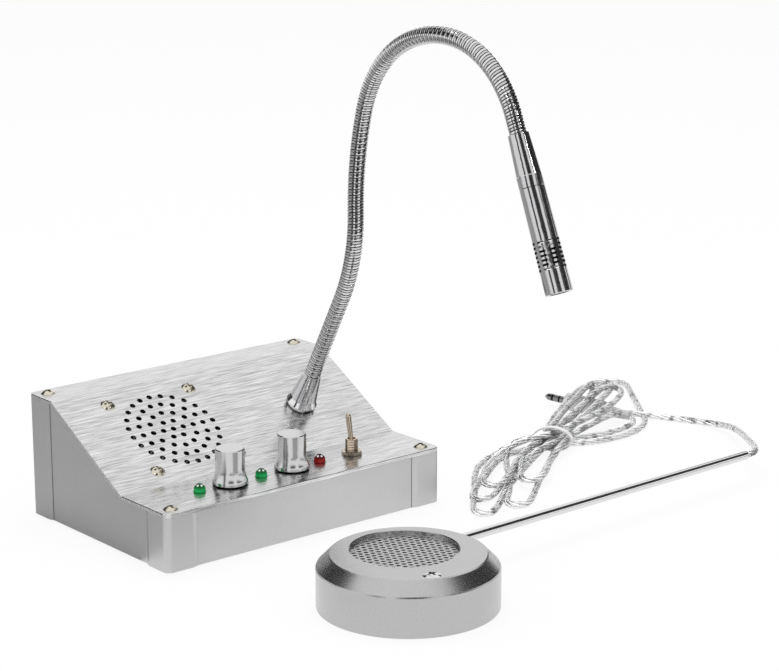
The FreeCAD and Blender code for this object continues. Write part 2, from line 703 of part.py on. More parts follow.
def knob(x):
    """Polished knob: short skirt, concave flare, plain grip, and a bore for the shaft."""
    start = Vector(KNOB_R, 0, KNOB_SKIRT_H)
    end = Vector(KNOB_GRIP_R, 0, KNOB_FLARE_TOP)
    middle = (start + end) * 0.5 - Vector(KNOB_FLARE_DEPTH, 0, 0)
    corners = [(KNOB_GRIP_R, KNOB_H - KNOB_EDGE), (KNOB_GRIP_R - KNOB_EDGE, KNOB_H), (0, KNOB_H), (0, 0),
               (KNOB_R - KNOB_EDGE, 0), (KNOB_R, KNOB_EDGE)]
    line = Part.makePolygon([end] + [Vector(r, 0, h) for r, h in corners] + [start])
    flare = Part.Arc(start, middle, end).toShape()
    profile = Part.Wire(Part.sortEdges([flare] + line.Edges)[0])
    body = Part.Face(profile).revolve(Vector(0, 0, 0), UP, 360)
    bore_h = KNOB_H - SHAFT_TOP_WALL
    body = cut(body, [cylinder(SHAFT_R + SHAFT_FIT, bore_h), cylinder(KNOB_RECESS_R, KNOB_RECESS_H)])
    return shifted(body, x, ROW_Y, LEDGE_Z + KNOB_GAP)


def toggle_switch():
    """Switch body under the ledge with its threaded bushing through it."""
    sx, sy, sz = TOGGLE_BODY
    body = box((sx, sy, sz), 0, 0, FRONT_POST_H - sz)
    bush = cylinder(TOGGLE_BUSH_R, PLATE_T + TOGGLE_BUSH_H, z=FRONT_POST_H)
    lugs = [box(LUG_SIZE, 0, s * LUG_PITCH, FRONT_POST_H - sz - LUG_SIZE[2]) for s in (-1, 0, 1)]
    pivot_z = toggle_pivot_z()
    reach = TOGGLE_BALL_R + SHAFT_FIT
    bore = cylinder(TOGGLE_BORE_R, TOGGLE_PIVOT_DROP + reach, z=pivot_z - reach)
    return shifted(joined([body, bush] + lugs).cut(bore), TOGGLE_X, ROW_Y, 0)


def toggle_pivot_z():
    return LEDGE_Z + TOGGLE_BUSH_H - TOGGLE_PIVOT_DROP


def toggle_nut():
    return shifted(nut(TOGGLE_NUT_AF, TOGGLE_NUT_H, TOGGLE_BUSH_R + SHAFT_FIT), TOGGLE_X, ROW_Y, LEDGE_Z)


def toggle_lever():
    ball = Part.makeSphere(TOGGLE_BALL_R, Vector(0, 0, 0))
    stem = Part.makeCone(LEVER_ROOT_R, LEVER_TIP_R, LEVER_L - LEVER_TIP_R)
    tip = Part.makeSphere(LEVER_TIP_R, Vector(0, 0, LEVER_L - LEVER_TIP_R))
    lever = joined([ball, stem, tip])
    lean = math.radians(TOGGLE_LEAN)
    return placed(lever, (TOGGLE_X, ROW_Y, toggle_pivot_z()), (0, math.sin(lean), math.cos(lean)))


# ---------------------------------------------------------------- gooseneck
def neck_start():
    """Point where the neck's centreline crosses the slope's outer face."""
    a = math.radians(SLOPE)
    return Vector(COLLAR_X, BEND_Y + COLLAR_UP * math.cos(a), LEDGE_Z + COLLAR_UP * math.sin(a))


def heading(degrees):
    """Unit vector in the neck's plane: 0 is straight forwards, 90 is up."""
    a = math.radians(degrees)
    return Vector(0, -math.cos(a), math.sin(a))


def neck_at(s):
    """Point and heading in degrees at length s along the neck's centreline."""
    point = neck_start()
    angle = 90.0 - SLOPE
    left = s
    for length, turn in NECK_ARCS:
        step = left if length >= left or (length, turn) == NECK_ARCS[-1] else length
        part = turn * step / length
        chord = step
        if turn:
            half = math.radians(part / 2)
            chord = step * math.sin(half) / half if half else step
        point = point + heading(angle + part / 2) * chord
        angle += part
        left -= step
        if left <= 0:
            break
    return point, angle


def neck_ends():
    """Lengths along the centreline where one arc of the neck ends and the next begins."""
    ends = [0.0]
    for length, turn in NECK_ARCS:
        ends.append(ends[-1] + length)
    return ends


def neck_joints():
    """Lengths of the joint centres: one at the collar, then one where each of the next arcs ends."""
    first = COLLAR_H + NECK_ROOT_SHOW + NECK_TUBE_END
    return [first] + neck_ends()[1:NECK_JOINTS]


def neck_tube(s0, s1):
    """Round tube along the centreline between two lengths."""
    stops = [s0] + [s for s in neck_ends() if s0 + EPS < s < s1 - EPS] + [s1]
    edges = []
    for a, b in zip(stops[:-1], stops[1:]):
        start, start_angle = neck_at(a)
        end, end_angle = neck_at(b)
        if abs(end_angle - start_angle) < EPS:
            edges.append(Part.LineSegment(start, end).toShape())
        else:
            edges.append(Part.Arc(start, neck_at((a + b) / 2)[0], end).toShape())
    point, angle = neck_at(s0)
    section = Part.Wire(Part.makeCircle(NECK_R, point, heading(angle)))
    return Part.Wire(edges).makePipeShell([section], True, False)


def ball_stub(s):
    """Slim stub and ball that reach from a link into the next one."""
    point, angle = neck_at(s)
    stub = cylinder(NECK_STUB_R, NECK_TUBE_END + NECK_STUB_R, z=-NECK_TUBE_END - NECK_STUB_R)
    ball = Part.makeSphere(NECK_BALL_R, Vector(0, 0, 0))
    return placed(joined([stub, ball]), point, heading(angle))


def ball_socket(s):
    point, angle = neck_at(s)
    mouth = cylinder(NECK_SOCKET_R, 2 * NECK_NEXT_START, z=-2 * NECK_NEXT_START)
    seat = Part.makeSphere(NECK_SOCKET_R, Vector(0, 0, 0))
    return placed(joined([mouth, seat]), point, heading(angle))


def neck_root():
    first = neck_joints()[0]
    return joined([neck_tube(NECK_SEAT, first - NECK_TUBE_END), ball_stub(first)])


def neck_link(index):
    """Link between two joints of the neck; the last one ends inside the microphone's sleeve."""
    joints = neck_joints()
    start = joints[index]
    if index + 1 < len(joints):
        end = joints[index + 1]
        link = joined([neck_tube(start - NECK_NEXT_START, end - NECK_TUBE_END), ball_stub(end)])
    else:
        link = neck_tube(start - NECK_NEXT_START, neck_ends()[-1] + MIC_PLUG)
    return link.cut(ball_socket(start))


def gooseneck_collar():
    profile = [(COLLAR_FOOT_R, 0.0), (COLLAR_BULGE_R, COLLAR_BULGE_H), (COLLAR_NECK_R, COLLAR_NECK_H),
               (COLLAR_CONE_R, COLLAR_CONE_H), (COLLAR_LIP_R, COLLAR_H), (NECK_R + NECK_FIT, COLLAR_H),
               (NECK_R + NECK_FIT, -COLLAR_STEM_L), (COLLAR_STEM_R, -COLLAR_STEM_L), (COLLAR_STEM_R, 0.0)]
    return on_slope(shifted(turned(profile), COLLAR_X, COLLAR_UP, 0))


def collar_nut():
    ring = nut(COLLAR_NUT_AF, COLLAR_NUT_H, COLLAR_STEM_R + NECK_FIT)
    return on_slope(shifted(ring, COLLAR_X, COLLAR_UP, -PLATE_T - COLLAR_NUT_H))


# ---------------------------------------------------------------- microphone
def at_mic(shape):
    point, angle = neck_at(neck_ends()[-1])
    return placed(shape, point, heading(angle))


def mic_bore_r():
    return MIC_SLEEVE_R - MIC_WALL


def mic_sleeve():
    bore = NECK_R + NECK_FIT
    spigot_r = mic_bore_r() - NECK_FIT
    spigot_end = MIC_SLEEVE_H + MIC_SPIGOT_L
    bore_end = MIC_PLUG + MIC_WALL
    profile = [(bore, 0.0), (MIC_TOP_R, 0.0), (MIC_SHOULDER_R, MIC_SHOULDER_H),
               (MIC_SLEEVE_R, MIC_SHOULDER_H + MIC_SEAM), (MIC_SLEEVE_R, MIC_SLEEVE_H - MIC_SEAM),
               (spigot_r, MIC_SLEEVE_H - MIC_SEAM), (spigot_r, spigot_end), (spigot_r - MIC_WALL, spigot_end),
               (spigot_r - MIC_WALL, bore_end), (bore, bore_end)]
    return at_mic(turned(profile))


def mic_slots():
    slots = []
    around, along = MIC_SLOT
    for row in range(MIC_SLOT_ROWS):
        z = MIC_SLOT_START + row * MIC_SLOT_PITCH
        for column in range(MIC_SLOT_COLUMNS):
            slot = Part.makeBox(MIC_END_R, around, along, Vector(mic_bore_r() / 2, -around / 2, z))
            slot.rotate(Vector(0, 0, 0), UP, 360.0 * (column + 0.5) / MIC_SLOT_COLUMNS)
            slots.append(slot)
    return slots


def mic_tube():
    bore = mic_bore_r()
    profile = [(bore, MIC_SLEEVE_H), (MIC_SLEEVE_R, MIC_SLEEVE_H), (MIC_END_R, MIC_H - MIC_EDGE),
               (MIC_END_R - MIC_EDGE, MIC_H), (bore, MIC_H)]
    return at_mic(cut(turned(profile), mic_slots()))


def mic_capsule():
    return at_mic(cylinder(mic_bore_r() - MIC_CAPSULE_PLAY, MIC_CAPSULE_H, z=MIC_CAPSULE_START))


def mic_grille():
    r = mic_bore_r() - MIC_CAPSULE_PLAY / 2
    z = MIC_H - MIC_GRILLE_RECESS - MIC_GRILLE_T
    disc = cylinder(r, MIC_GRILLE_T, z=z)
    places = hex_grid(3 * MIC_GRILLE_HOLE_R, r - 2 * MIC_GRILLE_HOLE_R)
    holes = [cylinder(MIC_GRILLE_HOLE_R, MIC_GRILLE_T, x, y, z) for x, y in places]
    return at_mic(cut(disc, holes))


def hex_grid(pitch, limit):
    """Points of a triangular grid inside a circle about (0, 0)."""
    points = []
    rows = int(limit / (pitch * math.sqrt(3) / 2)) + 1
    columns = int(limit / pitch) + 1
    for j in range(-rows, rows + 1):
        for i in range(-columns - 1, columns + 2):
            x = (i + 0.5 * (j % 2)) * pitch
            y = j * pitch * math.sqrt(3) / 2
            if math.hypot(x, y) <= limit:
                points.append((x, y))
    return points


# ---------------------------------------------------------------- electronics
def circuit_board():
    board = box(BOARD_SIZE, 0, BOARD_Y, BOARD_Z)
    holes = [cylinder(M3_R + M3_CLEAR, BOARD_SIZE[2], x, y, BOARD_Z) for x, y in standoff_points()]
    for x in LED_X:
        for s in (-1, 1):
            leg = LED_LEG + 2 * M3_CLEAR
            holes.append(box((leg, leg, BOARD_SIZE[2]), x + s * LED_LEG_PITCH / 2, ROW_Y, BOARD_Z))
    return cut(board, holes)


def board_standoffs():
    pillar = joined([hexagon(STANDOFF_AF, STANDOFF_H, z=FLOOR_T), cylinder(STANDOFF_SPIGOT_R, FLOOR_T)])
    return group(pillar.cut(cylinder(M3_CORE_R, STANDOFF_H + FLOOR_T)), standoff_points())


def board_screws():
    length = BOARD_SIZE[2] + STANDOFF_H
    return group(pan_screw(M3_R, length, M3_HEAD_R, M3_HEAD_H), standoff_points(), BOARD_TOP)


def board_components():
    """Capacitors and the amplifier chip, soldered to the board."""
    solids = [cylinder(r, h, x, y, BOARD_TOP) for x, y, r, h in CAPACITORS]
    solids.append(box(AMP_CHIP, AMP_CHIP_AT[0], AMP_CHIP_AT[1], BOARD_TOP))
    return Part.makeCompound(solids)


# ---------------------------------------------------------------- rear sockets
def at_rear(shape, x):
    """Place a shape made about +Z, with z = 0 on the rear panel's outer face, pointing backwards."""
    return placed(shape, (x, BACK - PANEL_INSET, SOCKET_Z), (0, 1, 0))


def power_socket():
    flange = cylinder(POWER_FLANGE_R, POWER_FLANGE_T)
    barrel = cylinder(POWER_BARREL_R, POWER_BARREL_L, z=-POWER_BARREL_L)
    bore = cylinder(POWER_BORE_R, POWER_BORE_L, z=POWER_FLANGE_T - POWER_BORE_L)
    pin = cylinder(POWER_PIN_R, POWER_BORE_L, z=-POWER_BORE_L)
    whole = joined([joined([flange, barrel]).cut(bore), pin])
    return at_rear(whole, POWER_X)


def power_socket_nut():
    ring = cylinder(POWER_NUT_R, POWER_NUT_H).cut(cylinder(POWER_BARREL_R + SHAFT_FIT, POWER_NUT_H))
    return at_rear(shifted(ring, 0, 0, -PANEL_T - POWER_NUT_H), POWER_X)


def audio_socket():
    barrel = cylinder(AUDIO_BARREL_R, AUDIO_BARREL_OUT + PANEL_T, z=-PANEL_T)
    body = box(AUDIO_BODY, 0, 0, -PANEL_T - AUDIO_BODY[2])
    bore = cylinder(AUDIO_BORE_R, AUDIO_BORE_L, z=AUDIO_BARREL_OUT - AUDIO_BORE_L)
    whole = joined([barrel, body]).cut(bore)
    return at_rear(whole, AUDIO_X)


def audio_socket_nut():
    ring = cylinder(AUDIO_NUT_R, AUDIO_NUT_H).cut(cylinder(AUDIO_BARREL_R + SHAFT_FIT, AUDIO_NUT_H))
    return at_rear(ring, AUDIO_X)


# ---------------------------------------------------------------- outer unit
def stem_axis():
    """A point abreast of the puck's centre and the direction of the stem, in the puck's own frame."""
    a = math.radians(STEM_ANGLE)
    along = Vector(math.cos(a), math.sin(a), 0)
    across = Vector(-math.sin(a), math.cos(a), 0)
    return across * STEM_OFFSET + Vector(0, 0, STEM_Z), along


def along_stem(shape, start):
    base, along = stem_axis()
    return placed(shape, base + along * start, along)


def cover_screw_points():
    return [(COVER_SCREW_RING * math.cos(math.radians(a)), COVER_SCREW_RING * math.sin(math.radians(a)))
            for a in COVER_SCREW_ANGLES]


def puck_slant_start():
    """Height above the counter where the inner wall starts to lean in."""
    return PUCK_WALL_H - PUCK_WALL


def puck_roof():
    """Height above the counter of the top's underside."""
    return PUCK_H - PUCK_TOP_T


def puck_shell():
    inner_r = PUCK_R - PUCK_WALL
    roof = puck_roof()
    lean = (PUCK_R - PUCK_TOP_R) / (PUCK_H - PUCK_WALL_H)
    roof_r = inner_r - (roof - puck_slant_start()) * lean
    e = PUCK_EDGE
    outside = [(PUCK_R - e, PUCK_SKIRT_LIFT), (PUCK_R, PUCK_SKIRT_LIFT + e), (PUCK_R, PUCK_WALL_H - e),
               (PUCK_R - e * lean, PUCK_WALL_H + e), (PUCK_TOP_R + e * lean, PUCK_H - e),
               (PUCK_TOP_R - e, PUCK_H), (0.0, PUCK_H)]
    hollow = [(0.0, roof), (roof_r, roof), (inner_r, puck_slant_start()), (inner_r, PUCK_SKIRT_LIFT)]
    shell = turned(outside + hollow)
    gx, gy = GRILLE_OFFSET
    seat = RECESS_DEPTH + PUCK_GRILLE_T
    tools = [cylinder(RECESS_R, seat, gx, gy, PUCK_H - seat)]
    tools.append(Part.makeCone(RECESS_R, RECESS_R + e, e, Vector(gx, gy, PUCK_H - e)))
    tools.append(cylinder(PUCK_MOUTH_R, PUCK_TOP_T, gx, gy, roof))
    fx, fy = FACE_SCREW_OFFSET
    tools.append(cylinder(M4_R + M3_CLEAR, PUCK_TOP_T, fx, fy, roof))
    tools.append(along_stem(cylinder(STEM_R + STEM_FIT, PUCK_R), STEM_ROOT))
    boss_h = roof - COVER_T - PAD_T
    bosses = [cylinder(COVER_BOSS_R, boss_h, x, y, COVER_T + PAD_T) for x, y in cover_screw_points()]
    stem_boss = along_stem(cylinder(STEM_BOSS_R, PUCK_R - STEM_BOSS_START), STEM_BOSS_START)
    bosses.append(stem_boss.common(cylinder(inner_r + EPS, PUCK_H)))
    drills = [cylinder(M3_CORE_R, FLOOR_SCREW_L + EPS, x, y, PAD_T) for x, y in cover_screw_points()]
    return at_puck(cut(joined([shell] + bosses), tools + drills))


def puck_cover():
    """Disc that closes the puck from below, with a pillar for the screw in its face."""
    cover = cylinder(PUCK_R - PUCK_WALL - COVER_CLEAR, COVER_T, z=PAD_T)
    fx, fy = FACE_SCREW_OFFSET
    pillar_top = puck_slant_start()
    pillar = cylinder(FACE_BOSS_R, pillar_top - PAD_T, fx, fy, PAD_T)
    tools = [cylinder(M4_R + SHAFT_FIT, pillar_top - PAD_T - COVER_T, fx, fy, PAD_T + COVER_T)]
    for x, y in cover_screw_points():
        seat = shifted(countersink(M3_CSK_R + M3_CLEAR, M3_CSK_H + M3_CLEAR), x, y, PAD_T)
        tools += [seat, cylinder(M3_R + M3_CLEAR, COVER_T, x, y, PAD_T)]
    return at_puck(cut(joined([cover, pillar]), tools))


def puck_pad():
    return at_puck(cylinder(PAD_R, PAD_T))


def cover_screws():
    return at_puck(group(floor_screw(FLOOR_SCREW_L - EPS), cover_screw_points(), PAD_T))


def puck_face_screw():
    length = PUCK_H - puck_slant_start() + FACE_SCREW_REACH
    screw = pan_screw(M4_R, length, M4_HEAD_R, M4_HEAD_H)
    return at_puck(shifted(screw, FACE_SCREW_OFFSET[0], FACE_SCREW_OFFSET[1], PUCK_H))


def puck_grille():
    gx, gy = GRILLE_OFFSET
    z = PUCK_H - RECESS_DEPTH - PUCK_GRILLE_T
    disc = cylinder(RECESS_R - PUCK_GRILLE_PLAY, PUCK_GRILLE_T, gx, gy, z)
    limit = RECESS_R - PUCK_GRILLE_PLAY - PUCK_HOLE_R - PUCK_HOLE_MARGIN
    places = hex_grid(PUCK_HOLE_PITCH, limit)
    holes = [cylinder(PUCK_HOLE_R, PUCK_GRILLE_T, gx + x, gy + y, z) for x, y in places]
    return at_puck(cut(disc, holes))


def puck_speaker():
    """Small driver under the grille: flange, basket and magnet in one."""
    gx, gy = GRILLE_OFFSET
    x = gx + PUCK_SPEAKER_OFFSET
    roof = PUCK_H - RECESS_DEPTH - PUCK_GRILLE_T
    low = Vector(x, gy, roof - PUCK_SPEAKER_H)
    basket = Part.makeCone(PUCK_SPEAKER_MAGNET_R, PUCK_SPEAKER_R, PUCK_SPEAKER_H, low)
    magnet_z = roof - PUCK_SPEAKER_H - PUCK_SPEAKER_MAGNET_H
    magnet = cylinder(PUCK_SPEAKER_MAGNET_R, PUCK_SPEAKER_MAGNET_H, x, gy, magnet_z)
    return at_puck(joined([basket, magnet]))


def puck_mic():
    gx, gy = GRILLE_OFFSET
    roof = PUCK_H - RECESS_DEPTH - PUCK_GRILLE_T
    return at_puck(cylinder(PUCK_MIC_R, PUCK_MIC_H, gx + PUCK_MIC_OFFSET, gy, roof - PUCK_MIC_H))


def stem():
    """Polished tube that carries the cord out of the puck."""
    tube = cylinder(STEM_R, STEM_TIP - STEM_ROOT).cut(cylinder(STEM_BORE_R, STEM_TIP - STEM_ROOT))
    return at_puck(along_stem(tube, STEM_ROOT))


def stem_clip():
    ring = cylinder(CLIP_R, CLIP_T).cut(cylinder(STEM_R + STEM_FIT, CLIP_T))
    return at_puck(along_stem(ring, CLIP_START))


# ---------------------------------------------------------------- cord
def stem_mouth():
    base, along = stem_axis()
    return base + along * STEM_TIP + Vector(PUCK_X, PUCK_Y, COUNTER_Z), along


def cord_points():
    mouth, along = stem_mouth()
    return [mouth - along * CORD_IN_STEM, mouth + along * CORD_OUT] + [Vector(*p) for p in CORD_ROUTE]


def cord_tube():
    """Straight runs joined by tangent arcs, as large as the two runs beside each point allow."""
    points = cord_points()
    edges = []
    last = points[0]
    radii = []
    for before, here, after in zip(points[:-2], points[1:-1], points[2:]):
        way_in = (here - before).normalize()
        way_out = (after - here).normalize()
        turn = way_in.getAngle(way_out)
        back = CORD_ARC_SHARE * min((here - before).Length, (after - here).Length)
        radius = back / math.tan(turn / 2)
        start = here - way_in * back
        end = here + way_out * back
        inwards = (way_out - way_in).normalize()
        middle = here + inwards * (radius / math.cos(turn / 2) - radius)
        edges.append(Part.LineSegment(last, start).toShape())
        edges.append(Part.Arc(start, middle, end).toShape())
        radii.append(round(radius, 1))
        last = end
    edges.append(Part.LineSegment(last, points[-1]).toShape())
    path = Part.Wire(edges)
    section = Part.Wire(Part.makeCircle(CORD_R, points[0], stem_mouth()[1]))
    tube = path.makePipeShell([section], True, False)
    print("cord arc radii", radii, "length", round(path.Length, 1),
          "volume over section times length", round(tube.Volume / (math.pi * CORD_R ** 2 * path.Length), 4))
    return tube


def hank_upright(along, across, height):
    """Placement that stands an outline drawn in the XY plane across the hank."""
    upright = Rotation(Vector(0, 1, 0), Vector(0, 0, 1), Vector(1, 0, 0), "ZXY")
    return Placement(Vector(along, across, height), upright)


def hank_section(along, across, half_w, half_h, below):
    wire = Part.Wire(Part.Ellipse(Vector(0, 0, 0), half_w, half_h).toShape())
    wire.Placement = hank_upright(along, across, half_h + below)
    return wire


def at_hank(shape):
    return carried(shape, Placement(Vector(HANK_X, HANK_Y, COUNTER_Z), Rotation(UP, HANK_ANGLE)))


def cord_hank():
    sections = [hank_section(*values) for values in HANK_SECTIONS]
    return at_hank(Part.makeLoft(sections, True, True))


def cord_tie():
    """Twist tie around the hank's waist."""
    across, half_w, half_h, below = HANK_SECTIONS[len(HANK_SECTIONS) // 2][1:]
    outer = Part.Face(Part.Wire(Part.Ellipse(Vector(0, 0, 0), half_w + TIE_T, half_h + TIE_T).toShape()))
    inner = Part.Face(Part.Wire(Part.Ellipse(Vector(0, 0, 0), half_w, half_h).toShape()))
    band = outer.cut(inner).extrude(Vector(0, 0, TIE_W))
    band.Placement = hank_upright(-TIE_W / 2, across, half_h + below)
    return at_hank(band)


def plug_pin():
    ring_at = PLUG_PIN_L / 3
    pin = cylinder(PLUG_PIN_R, PLUG_PIN_L - PLUG_PIN_R)
    nose = Part.makeCone(PLUG_PIN_R, PLUG_PIN_R / 2, PLUG_PIN_R, Vector(0, 0, PLUG_PIN_L - PLUG_PIN_R))
    groove = cylinder(PLUG_PIN_R, PLUG_RING).cut(cylinder(PLUG_PIN_R - PLUG_RING_DEPTH, PLUG_RING))
    rings = [shifted(groove, 0, 0, ring_at * k) for k in (1, 2)]
    return placed(cut(joined([pin, nose]), rings), PLUG_ROOT, PLUG_DIRECTION)


def plug_body():
    grip = cylinder(PLUG_BODY_R, PLUG_BODY_L, z=-PLUG_BODY_L)
    relief_start = Vector(0, 0, -PLUG_BODY_L - PLUG_RELIEF_L)
    relief = Part.makeCone(PLUG_RELIEF_R, PLUG_NECK_R, PLUG_RELIEF_L, relief_start)
    return placed(joined([grip, relief]), PLUG_ROOT, PLUG_DIRECTION)


# ---------------------------------------------------------------- writing the pieces
def desk_pieces():
    """Node names and shapes of the desk unit's fixed pieces."""
    return {
        "top_plate": top_plate(),
        "base_plate": base_plate(),
        "front_panel": front_panel(),
        "rear_panel": rear_panel(),
        "side_panels": side_panels(),
        "front_posts": posts(-1),
        "rear_posts": posts(1),
        "top_plate_screws": top_plate_screws(),
        "base_plate_screws": base_plate_screws(),
        "rubber_feet": rubber_feet(),
        "speaker_frame": speaker_frame(),
        "speaker_cone": speaker_cone(),
        "speaker_magnet": speaker_magnet(),
        "speaker_screws": speaker_screws(),
        "speaker_nuts": speaker_nuts(),
        "green_lamps": Part.makeCompound([lamp(x) for x in LED_X[:2]]),
        "red_lamp": lamp(LED_X[2]),
        "volume_pots": Part.makeCompound([pot_body(x) for x in KNOB_X]),
        "pot_nuts": Part.makeCompound([pot_nut(x) for x in KNOB_X]),
        "toggle_switch": toggle_switch(),
        "toggle_nut": toggle_nut(),
        "gooseneck_collar": gooseneck_collar(),
        "collar_nut": collar_nut(),
        "neck_root": neck_root(),
        "circuit_board": circuit_board(),
        "board_standoffs": board_standoffs(),
        "board_screws": board_screws(),
        "board_components": board_components(),
        "power_socket": power_socket(),
        "audio_socket": audio_socket(),
        "socket_nuts": Part.makeCompound([power_socket_nut(), audio_socket_nut()]),
    }


def moving_pieces():
    """Knobs with their shafts, the switch lever, the links of the neck and the microphone on its end."""
    made = {
        "toggle_lever": toggle_lever(),
        "mic_sleeve": mic_sleeve(),
        "mic_tube": mic_tube(),
        "mic_capsule": mic_capsule(),
        "mic_grille": mic_grille(),
    }
    for side, x in zip(("left", "right"), KNOB_X):
        made[side + "_pot_shaft"] = pot_shaft(x)
        made[side + "_knob"] = knob(x)
    for index in range(NECK_JOINTS):
        made["neck_link_%d" % (index + 1)] = neck_link(index)
    return made


def outer_pieces():
    """The round unit for the other side of the window, with its stem, cord and plug."""
    return {
        "puck_shell": puck_shell(),
        "puck_cover": puck_cover(),
        "puck_pad": puck_pad(),
        "cover_screws": cover_screws(),
        "puck_face_screw": puck_face_screw(),
        "puck_grille": puck_grille(),
        "puck_speaker": puck_speaker(),
        "puck_mic": puck_mic(),
        "stem": stem(),
        "stem_clip": stem_clip(),
        "cord_tube": cord_tube(),
        "cord_hank": cord_hank(),
        "cord_tie": cord_tie(),
        "plug_pin": plug_pin(),
        "plug_body": plug_body(),
    }


def main():
    os.makedirs("parts", exist_ok=True)
    made = {**desk_pieces(), **moving_pieces(), **outer_pieces()}
    for name, shape in made.items():
        shape.exportStep("parts/%s.step" % name)
    print(len(made), "nodes")
    for index, s in enumerate(neck_joints()):
        point, angle = neck_at(s)
        print("neck joint", index + 1, [round(c, 2) for c in point], "heading", round(angle, 2))


main()
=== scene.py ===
"""Teller window intercom: desk unit with gooseneck microphone, and the round outer unit with its cord."""

import math

import bmesh
import bpy
from mathutils import Matrix, Vector


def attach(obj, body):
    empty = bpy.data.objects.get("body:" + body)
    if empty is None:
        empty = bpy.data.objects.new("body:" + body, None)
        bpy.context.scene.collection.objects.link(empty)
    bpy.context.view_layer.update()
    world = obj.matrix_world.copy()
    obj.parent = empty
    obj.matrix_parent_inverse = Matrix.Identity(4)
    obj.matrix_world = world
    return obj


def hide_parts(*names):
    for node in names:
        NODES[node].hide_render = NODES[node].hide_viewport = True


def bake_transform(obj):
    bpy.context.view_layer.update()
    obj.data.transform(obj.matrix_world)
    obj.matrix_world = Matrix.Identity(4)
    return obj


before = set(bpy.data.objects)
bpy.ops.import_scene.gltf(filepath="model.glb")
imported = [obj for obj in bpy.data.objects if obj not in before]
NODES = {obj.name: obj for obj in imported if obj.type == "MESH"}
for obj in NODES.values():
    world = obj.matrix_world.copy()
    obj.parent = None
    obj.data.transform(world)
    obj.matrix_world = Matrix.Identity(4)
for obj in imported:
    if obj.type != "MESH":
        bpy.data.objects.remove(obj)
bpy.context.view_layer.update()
MM = 0.001

# ---------------------------------------------------------------- measures in millimetres and degrees
COUNTER_Z = -1.0           # the feet hold the base plate's underside, at height 0, off the counter
SLOPE = 29.06
LEDGE_Z = 24.9
BEND_Y = -19.05            # where the ledge meets the slope
ROW_Y = -34.45             # the knobs, lamps and toggle stand in this row
LED_X = {"green": (-44.1, -12.4), "red": (18.8,)}
LED_PROUD = 3.6

COLLAR_X = 38.8
COLLAR_UP = 27.2           # up the slope from the bend
NECK_R = 3.6
# length and turn of each stretch of the gooseneck
NECK_ARCS = ((61.5, 0.0), (41.5, 29.5), (45.0, -16.5), (45.5, -53.0), (28.0, -28.5), (46.0, -60.0),
             (7.0, 0.0))
NECK_TOTAL = sum(length for length, turn in NECK_ARCS)
NECK_FROM = 12.0           # start of the wound tube, inside the collar
NECK_PITCH = 2.5
NECK_STEPS = 30            # sides of the wound tube
NECK_GIVE = 12.0           # half of the stretch round each joint
NECK_SAMPLE = 0.5          # between the places tried for a joint
# round wire, then the wedge wire between its turns: share of the pitch, depth below NECK_R
NECK_WIRE = ((0.0, 0.55), (0.05, 0.42), (0.1, 0.05), (0.26, 0.0), (0.42, 0.03), (0.46, 0.2), (0.5, 0.4),
             (0.54, 0.22), (0.59, 0.11), (0.87, 0.11), (0.92, 0.25), (0.96, 0.5), (1.0, 0.55))
NECK_GROOVE = 0.35         # depth at which the painted shade in a groove is full
NECK_SHADE_CURVE = 1.3     # above 1, the painted shade keeps to the bottom of the groove
NECK_JOINT_AT = ((38.8, -6.3, 57.95), (38.8, -25.15, 91.87), (38.8, -35.3, 131.64), (38.8, -41.4, 176.07),
                 (38.8, -71.09, 208.4))
NECK_REPLACES = (("neck_root",), ("neck_link_1",), ("neck_link_2",), ("neck_link_3",),
                 ("neck_link_4", "neck_link_5"))

PUCK_AT = (-18.9, -138.4)
PUCK_GRILLE = (2.2, 5.0)   # from the puck's middle to the middle of its holes
PUCK_PITCH = 2.85
PUCK_HOLE_R = 0.7
PUNCH_LIP = 0.45           # width of the rounded lip round a hole
PUNCH_DEPTH = 0.28

CORD_R = 1.5
STEM_MOUTH = (194.13, -120.0, 13.0)
STEM_ANGLE = 0.94
CORD_IN_STEM = 6.0
CORD_OUT = 3.0             # the cord goes straight on this far out of the stem
CORD_ROUTE = ((202.0, -118.8, 12.9), (209.5, -112.0, 11.9), (217.5, -101.5, 10.4), (229.0, -86.5, 8.2),
              (241.5, -69.5, 5.0), (249.0, -55.0, 1.6), (247.0, -40.0, 0.5), (241.0, -27.5, 0.5),
              (231.5, -14.5, 1.4))
PLUG_ROOT = (216.4, 18.0, 3.4)
PLUG_DIRECTION = (-0.13, 0.99, 0.0)
TAIL_FROM_PLUG = 36.0      # the cord ends inside the plug's strain relief
PIN_L = 14.0
STRANDS = 4
STRAND_R = 0.42
STRAND_OFFSET = 0.82
STRAND_PITCH = 24.0
STRAND_TURN_POINTS = 10
SPLINE_ORDER = 3
CORD_FINENESS = (6, 3)     # steps between the points of the line, and fineness of the round section
STRAND_FINENESS = (2, 1)

# the hank: a place is along the hank, across it, and height above the counter
HANK_AT = (164.0, -26.6)
HANK_ANGLE = 29.0
# passes through the tie, across and height, in order along the cord
PASSES = ((-6.4, 5.7), (6.4, 5.7), (0.0, 5.7), (3.2, 8.7), (-3.2, 5.7), (0.0, 8.7), (3.2, 5.7), (3.2, 2.7),
          (-3.2, 2.7), (0.0, 2.7))
PASS_HALF = 3.5
INCOMING = ((54.0, -16.5, 5.4), (42.0, -14.5, 7.0), (26.0, -11.5, 7.2), (12.0, -7.5, 6.4))
